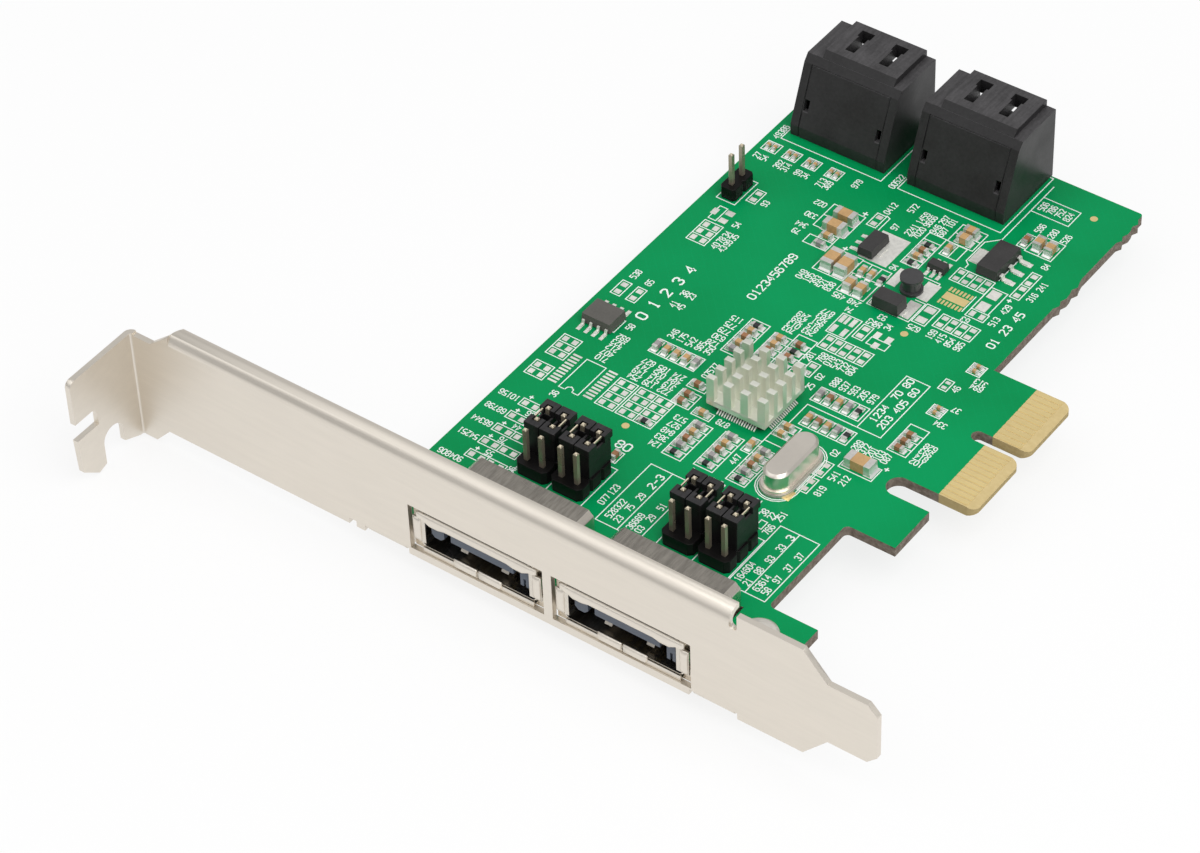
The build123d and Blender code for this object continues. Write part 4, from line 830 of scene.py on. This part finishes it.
def make_headers():
    """Header bases with flat ends, cut corners and a notch between the rows on their long sides."""
    bases = Shape("header_bases", HEADER_SLOT, ["header_black"])
    for node in HEADERS:
        low, high = span(node)
        row = (high.y - low.y) / HEADER_ROWS
        right = []
        for i in range(HEADER_ROWS):
            front = HEADER_CORNER if i == 0 else HEADER_NOTCH
            back = HEADER_CORNER if i == HEADER_ROWS - 1 else HEADER_NOTCH
            right += [(high.x - front, low.y + i * row), (high.x, low.y + i * row + front),
                      (high.x, low.y + (i + 1) * row - back)]
        right.append((high.x - HEADER_CORNER, high.y))
        left = [(low.x + high.x - x, y) for x, y in reversed(right)]
        bases.prism(right + left, low.z, high.z)
    bases.build(replaces=HEADERS, bevel=0.08)


def make_shunts():
    """Shunts: a body under two notched caps, and the thin clip that joins the two pins on one side."""
    shunts = Shape("shunts", "shunt_plastic", ["shunt_black"])
    clips = Shape("shunt_clips_thin", "pin_metal", ["pin_metal"])
    for i, node in enumerate(SHUNTS):
        low, high = span(node)
        x = (low.x + high.x) / 2
        y = (low.y + high.y) / 2
        wide = high.x - x
        deep = high.y - y
        side = wide - SHUNT_STEP
        far = deep - SHUNT_STEP
        floor = high.z - SHUNT_WELL
        cap_floor = high.z - CAP_HEIGHT
        shunts.block(x - side, x + side, y - far, y + far, low.z, floor)
        cap = [(-wide, CAP_START), (-CAP_SLOT, CAP_START), (-CAP_SLOT, CAP_SLOT_END),
               (CAP_SLOT, CAP_SLOT_END), (CAP_SLOT, CAP_START), (wide, CAP_START), (wide, deep),
               (-wide, deep)]
        for end in (-1, 1):
            outline = [(x + a, y + end * b) for a, b in cap]
            shunts.prism(outline[::end], cap_floor, high.z)
            front, back = sorted((y + end * CAP_START, y + end * (far - SHUNT_LAP)))
            shunts.block(x - side + SHUNT_LAP, x + side - SHUNT_LAP, front, back,
                         floor - CAP_SINK, cap_floor + CAP_SINK)
            left, right = sorted((x + end * (side - 2 * SHUNT_LAP), x + end * (side - SHUNT_WALL)))
            shunts.block(left, right, y - CAP_START - CAP_SINK, y + CAP_START + CAP_SINK,
                         floor - CAP_SINK, cap_floor)
        edge = x + CLIP_PLACE * (1 if i % 2 else -1)
        clips.block(edge - CLIP_HALF, edge + CLIP_HALF, y - CLIP_LENGTH, y + CLIP_LENGTH,
                    high.z - CLIP_DEPTH, high.z - CLIP_DROP)
    shunts.build(replaces=SHUNTS, bevel=0.07)
    clips.build(replaces=["shunt_clips"], bevel=0.03)


# Screws

SHANK_RADIUS = 1.5
# Outline of the head: share of its radius and of its height
HEAD_PROFILE = ((1, 0), (1, 0.35), (0.96, 0.6), (0.82, 0.86), (0.55, 0.97))
HEAD_SIDES = 40
RECESS_DEPTH = 0.75
RECESS_REACH = 1.25
RECESS_HALF = 0.28
RECESS_TAPER = 0.7


def lathe(profile, sides):
    """Points and faces of a solid turned about the Z axis; its profile starts and ends on the axis."""
    points = [(0.0, 0.0, profile[0][1])]
    for radius, z in profile[1:-1]:
        points += [(*on_circle(0.0, 0.0, radius, i, sides), z) for i in range(sides)]
    points.append((0.0, 0.0, profile[-1][1]))
    last = len(points) - 1
    final = last - sides
    faces = [[0, 1 + (i + 1) % sides, 1 + i] for i in range(sides)]
    for base in range(1, final, sides):
        faces += [[base + i, base + (i + 1) % sides, base + sides + (i + 1) % sides, base + sides + i]
                  for i in range(sides)]
    faces += [[final + i, final + (i + 1) % sides, last] for i in range(sides)]
    return points, faces


def make_screws():
    """Pan-head screws with a cross recess, in place of the plain ones."""
    screws = Shape("cross_head_screws", "screw_steel", ["screw_steel"])
    cross = Shape("recess_cutter", "screw_steel", ["screw_steel"])
    for low, high in solids_of("bracket_screws"):
        x = (low.x + high.x) / 2
        y = (low.y + high.y) / 2
        head = (high.x - low.x) / 2
        rise = high.z - BOARD_TOP
        profile = [(0, low.z), (SHANK_RADIUS, low.z), (SHANK_RADIUS, BOARD_TOP)]
        profile += [(head * across, BOARD_TOP + rise * up) for across, up in HEAD_PROFILE]
        points, faces = lathe(profile + [(0, high.z)], HEAD_SIDES)
        screws.add([(x + a, y + b, z) for a, b, z in points], faces)
        for long, short in ((RECESS_REACH, RECESS_HALF), (RECESS_HALF, RECESS_REACH)):
            corners = [(-long, -short), (long, -short), (long, short), (-long, short)]
            ends = ((RECESS_TAPER, high.z - RECESS_DEPTH), (1, high.z + RECESS_DEPTH))
            cross.add([(x + a * share, y + b * share, z) for share, z in ends for a, b in corners],
                      BOX_FACES)
    cutter = cross.mesh_object()
    piece = screws.build(replaces=["bracket_screws"])
    cut = piece.modifiers.new("recess", "BOOLEAN")
    cut.operation = "DIFFERENCE"
    cut.solver = "EXACT"
    cut.use_self = True
    cut.object = cutter
    bpy.context.view_layer.update()
    solid = bpy.data.meshes.new_from_object(piece.evaluated_get(bpy.context.evaluated_depsgraph_get()))
    piece.modifiers.remove(cut)
    piece.data = solid
    bpy.data.objects.remove(cutter)
    round_edges(piece, 0.05)


# Corners of the slot, port rims and solder

NOTCH_LEFT = 93.4
NOTCH_FRONT = 41.2
NOTCH_BACK = 44.7
NOTCH_STEPS = 10


def make_notch_corners():
    """The two rounded inner corners of the slot beside the plug-in edge."""
    corners = Shape("notch_corners", "laminate", ["board"])
    radius = (NOTCH_BACK - NOTCH_FRONT) / 2
    middle = (NOTCH_FRONT + NOTCH_BACK) / 2
    for side in (-1, 1):
        outline = [(NOTCH_LEFT, middle + side * radius)]
        for i in range(NOTCH_STEPS):
            angle = math.pi / 2 * i / NOTCH_STEPS
            outline.append((NOTCH_LEFT + radius * (1 - math.cos(angle)),
                            middle + side * radius * math.sin(angle)))
        corners.prism(outline if side > 0 else outline[::-1], BOARD_UNDERSIDE, BOARD_TOP)
    corners.build()


TRIM_SET_IN = 0.02
TRIM_GAP = 0.1
TRIM_REACH = 9.0
TRIM_TAB = 4.6
TRIM_SHEET = 0.3
TRIM_DEPTH = 2.4
TRIM_LOW = 1.32
TRIM_HIGH = 2.2
TRIM_WING_BACK = 0.62
TRIM_WING_SHEET = 0.15
TRIM_WING_NEAR = 9.0
TRIM_WING_FAR = 10.7
TRIM_WING_TOP = 8.9
TIP_PLACE = 3.3
TIP_HALF = 0.6
TIP_PROFILE = ((1.45, 3.1), (2.05, 4.0), (2.3, 3.9), (1.75, 2.95))


def make_port_trims():
    """Under each external port the folded lower edge that closes its window, and two latch tips."""
    trim = Shape("esata_lower_trims", "shell_steel", ["shell_steel"])
    for node in SHELLS:
        low, high = span(node)
        middle = (low.x + high.x) / 2
        front = low.y + TRIM_SET_IN
        wing_front = front + TRIM_WING_BACK
        for side in (-1, 1):
            lip = sorted((middle + side * TRIM_GAP, middle + side * TRIM_REACH))
            trim.block(*lip, front, front + TRIM_SHEET, TRIM_LOW, TRIM_HIGH)
            wing = sorted((middle + side * TRIM_WING_NEAR, middle + side * TRIM_WING_FAR))
            trim.block(*wing, wing_front, wing_front + TRIM_WING_SHEET, TRIM_LOW, TRIM_WING_TOP)
            tip = middle + side * TIP_PLACE
            trim.add([(x, low.y + y, z) for x in (tip - TIP_HALF, tip + TIP_HALF) for y, z in TIP_PROFILE],
                     BOX_FACES)
            tab = sorted((middle + side * TRIM_TAB, middle + side * TRIM_REACH))
            trim.block(*tab, front + TRIM_SHEET, front + TRIM_DEPTH, TRIM_LOW, TRIM_LOW + TRIM_SHEET)
    trim.build(bevel=0.13, segments=3)


BULGE_STEPS = 10
BULGE_ROOT = 0.1
# Stations along half of each strip: distance from the port's middle, lowest and highest point, rise
RIM_BAND = [(5.0, 7.02, 8.5, 0.34), (6.1, 6.7, 8.5, 0.34), (7.5, 6.7, 8.5, 0.34),
            (8.5, 7.3, 8.5, 0.34), (9.4, 7.4, 8.5, 0.3), (9.75, 7.5, 8.4, 0.06)]
RIM_WING = [(9.02, 3.2, 7.2, 0.03), (9.15, 3.15, 7.25, 0.22), (9.4, 3.12, 7.28, 0.32),
            (9.9, 3.12, 7.28, 0.32), (10.15, 3.15, 7.25, 0.22), (10.3, 3.2, 7.2, 0.03)]
RIM_LIP = [(0.14, 1.72, 2.84, 0.1), (0.3, 1.6, 2.88, 0.3), (3.6, 1.6, 2.88, 0.3), (3.86, 1.72, 2.8, 0.1)]


def bulge(shape, middle, back, stations):
    """A raised strip along X: each station gives its place, lowest and highest point, and rise."""
    count = BULGE_STEPS + 3
    points = []
    for x, low, high, rise in stations:
        for i in range(BULGE_STEPS + 1):
            part = 2 * i / BULGE_STEPS - 1
            points.append((middle + x, back - rise * math.sqrt(1 - abs(part) ** 3),
                           (low + high + part * (high - low)) / 2))
        points += [(middle + x, back + BULGE_ROOT, high), (middle + x, back + BULGE_ROOT, low)]
    last = (len(stations) - 1) * count
    faces = [list(range(count)), list(range(last, last + count))[::-1]]
    faces += [[j + i, j + (i + 1) % count, j + count + (i + 1) % count, j + count + i]
              for j in range(0, last, count) for i in range(count)]
    shape.add(points, faces)


def make_port_rims():
    """The rounded front of each port's rim: the drooping top band, the wings and the split lower lip."""
    rims = Shape("esata_rims", "shell_steel", ["nickel"])
    band = [(-x, *rest) for x, *rest in reversed(RIM_BAND)] + RIM_BAND
    for node in SHELLS:
        low, high = span(node)
        middle = (low.x + high.x) / 2
        bulge(rims, middle, low.y, band)
        for side in (-1, 1):
            for stations in (RIM_WING, RIM_LIP):
                bulge(rims, middle, low.y, [(side * x, *rest) for x, *rest in stations])
    piece = rims.build()
    piece.data.polygons.foreach_set("use_smooth", [True] * len(piece.data.polygons))


PIN_JOINT_RADIUS = 0.85
CONTACT_JOINT_RADIUS = 0.5
CONTACT_TAIL_MIDDLE = 0.125
JOINT_TIP_SHARE = 0.42
JOINT_HEIGHT = 0.75
JOINT_SIDES = 14


def make_solder_joints():
    """Solder cones round every tail under the board."""
    joints = Shape("solder_joints", "tinned_lead", ["solder"])
    for node in PINS + STACK_CONTACTS + PORT_CONTACTS:
        for low, high in solids_of(node):
            y = (low.y + high.y) / 2
            if node in STACK_CONTACTS:
                y = low.y + CONTACT_TAIL_MIDDLE
            if node in PORT_CONTACTS:
                y = high.y - CONTACT_TAIL_MIDDLE
            radius = PIN_JOINT_RADIUS if node in PINS else CONTACT_JOINT_RADIUS
            joints.cone((low.x + high.x) / 2, y, radius * JOINT_TIP_SHARE, radius,
                        BOARD_UNDERSIDE - JOINT_HEIGHT, BOARD_UNDERSIDE, JOINT_SIDES)
    joints.build()


# The nodes that keep their own shape: finish, then width and segments of their soft edges
DRESSED = (
    (["circuit_board"], "board"),
    (["edge_contacts"], "gold"),
    (["bracket"], "nickel", 0.09),
    (SHELLS, "shell_steel", 0.14, 3),
    (numbered("esata_insulator", 2), "insulator", 0.05),
    (STACKS + numbered("sata_cover", 2), "housing_black", 0.14, 3),
    (["pin_header_base"], "header_black", 0.1),
    (PINS, "pin_metal", 0.04),
    (PORT_CONTACTS + STACK_CONTACTS, "gold", 0.03),
    (["controller_chip"], "epoxy", 0.06),
    (["thermal_pad"], "pad_rubber"),
    (["heatsink"], "sink_metal", 0.12),
    (["crystal_base"], "base_pale", 0.05),
    (["crystal_can"], "can_steel", 0.12, 3),
    (["controller_leads", "flash_leads", "power_transistor_leads", "regulator_leads", "converter_leads",
      "diode_ends"], "tin", 0.02),
    # The flash chip takes the paler epoxy, whose paleness is a painted reflection
    (["flash_chip"], "epoxy_pale", 0.08),
    (["power_transistor", "regulator", "converter_chip", "diode"], "epoxy", 0.08),
    (["inductor"], "ferrite_core", 0.05),
)


def dress_nodes():
    for nodes, finish, *edges in DRESSED:
        for node in nodes:
            dress(node, finish, *edges)


# Scene

WHITE = (1.0, 1.0, 1.0)
FLOOR_REACH = 3.0
FLOOR_DROP = 0.0002
FLOOR_TONE = (0.86, 0.86, 0.86)
FLOOR_TONE_TO_CARD = (0.34, 0.34, 0.34)
FLOOR_GLOW = 0.82
ROOM_LOW = (0.30, 0.30, 0.30)
ROOM_HIGH = (0.66, 0.66, 0.66)
ROOM_HIGH_START = 0.9
# Each lamp: its name, place, size and power; all point at the frame's origin
LAMPS = (
    ("key", (-0.4, -0.3, 0.65), (1.0, 0.8), 1.5),
    ("fill", (0.45, -0.35, 0.35), (0.6, 0.5), 0.5),
    ("top", (0.5, -0.05, 0.85), (0.8, 0.8), 5.0),
)


def make_camera():
    """The camera that was fitted to the photo."""
    camera = bpy.data.objects.new("photo_camera", bpy.data.cameras.new("photo_camera"))
    bpy.context.scene.collection.objects.link(camera)
    right = Vector((0.80789, 0.58857, -0.03011))
    up = Vector((-0.38616, 0.56727, 0.72738))
    forward = Vector((-0.44520, 0.57601, -0.68557))
    station = Vector((0.254343, -0.352030, 0.405003))
    turn = Matrix((right, up, -forward)).transposed().to_4x4()
    camera.matrix_world = Matrix.Translation(station) @ turn
    camera.data.sensor_width = 36.0
    camera.data.sensor_fit = "HORIZONTAL"
    camera.data.lens = 130.55
    camera.data.clip_start = 0.01
    camera.data.clip_end = 10.0
    bpy.context.scene.camera = camera


def make_floor():
    """A white floor that keeps the shadow, and throws less light on the card than it shows."""
    mesh = bpy.data.meshes.new("floor")
    level = cad_box[0].z - FLOOR_DROP
    corners = [(x * FLOOR_REACH, y * FLOOR_REACH, level) for x, y in ((-1, -1), (1, -1), (1, 1), (-1, 1))]
    mesh.from_pydata(corners, [], [(0, 1, 2, 3)])
    floor = bpy.data.objects.new("floor", mesh)
    bpy.context.scene.collection.objects.link(floor)
    material, shader, add, links = node_material("floor_white")
    rays = add("LightPath").outputs
    bounce = mixed(add, rays["Is Diffuse Ray"], rgba(FLOOR_TONE), rgba(FLOOR_TONE_TO_CARD))
    links.new(bounce, shader.inputs["Base Color"])
    shader.inputs["Roughness"].default_value = 0.9
    shader.inputs["Specular IOR Level"].default_value = 0.1
    glow = add("Emission", Color=rgba(WHITE), Strength=1.0)
    seen = calculated(add, "MAXIMUM", rays["Is Camera Ray"], rays["Is Glossy Ray"])
    share = calculated(add, "MULTIPLY", seen, FLOOR_GLOW)
    mix = add("MixShader", Fac=share, _1=shader.outputs[0], _2=glow.outputs[0])
    links.new(mix.outputs[0], material.node_tree.nodes["Material Output"].inputs["Surface"])
    mesh.materials.append(material)


def make_world():
    """White to the camera; for everything else a soft grey room that is palest overhead."""
    world = bpy.data.worlds.new("room")
    bpy.context.scene.world = world
    world.use_nodes = True
    tree = world.node_tree
    add = node_adder(tree)
    upward = add("SeparateXYZ", Vector=add("TexCoord").outputs["Generated"]).outputs[2]
    room = two_tones(add, upward, ROOM_LOW, ROOM_HIGH, 0.0, ROOM_HIGH_START)
    seen = mixed(add, add("LightPath").outputs["Is Camera Ray"], room, rgba(WHITE))
    tree.links.new(seen, tree.nodes["Background"].inputs["Color"])


def make_lights():
    for name, location, size, power in LAMPS:
        light = bpy.data.lights.new(name, "AREA")
        light.shape = "RECTANGLE"
        light.size, light.size_y = size
        light.energy = power
        lamp = bpy.data.objects.new(name, light)
        lamp.location = location
        lamp.rotation_euler = (-Vector(location)).to_track_quat("-Z", "Y").to_euler()
        bpy.context.scene.collection.objects.link(lamp)


make_camera()
dress_nodes()
make_print()
make_bare_pads()
make_gold()
make_chips()
make_port_trims()
make_port_rims()
make_headers()
make_shunts()
make_screws()
make_notch_corners()
make_solder_joints()
make_floor()
make_world()
make_lights()
bpy.context.scene.view_settings.view_transform = "Standard"
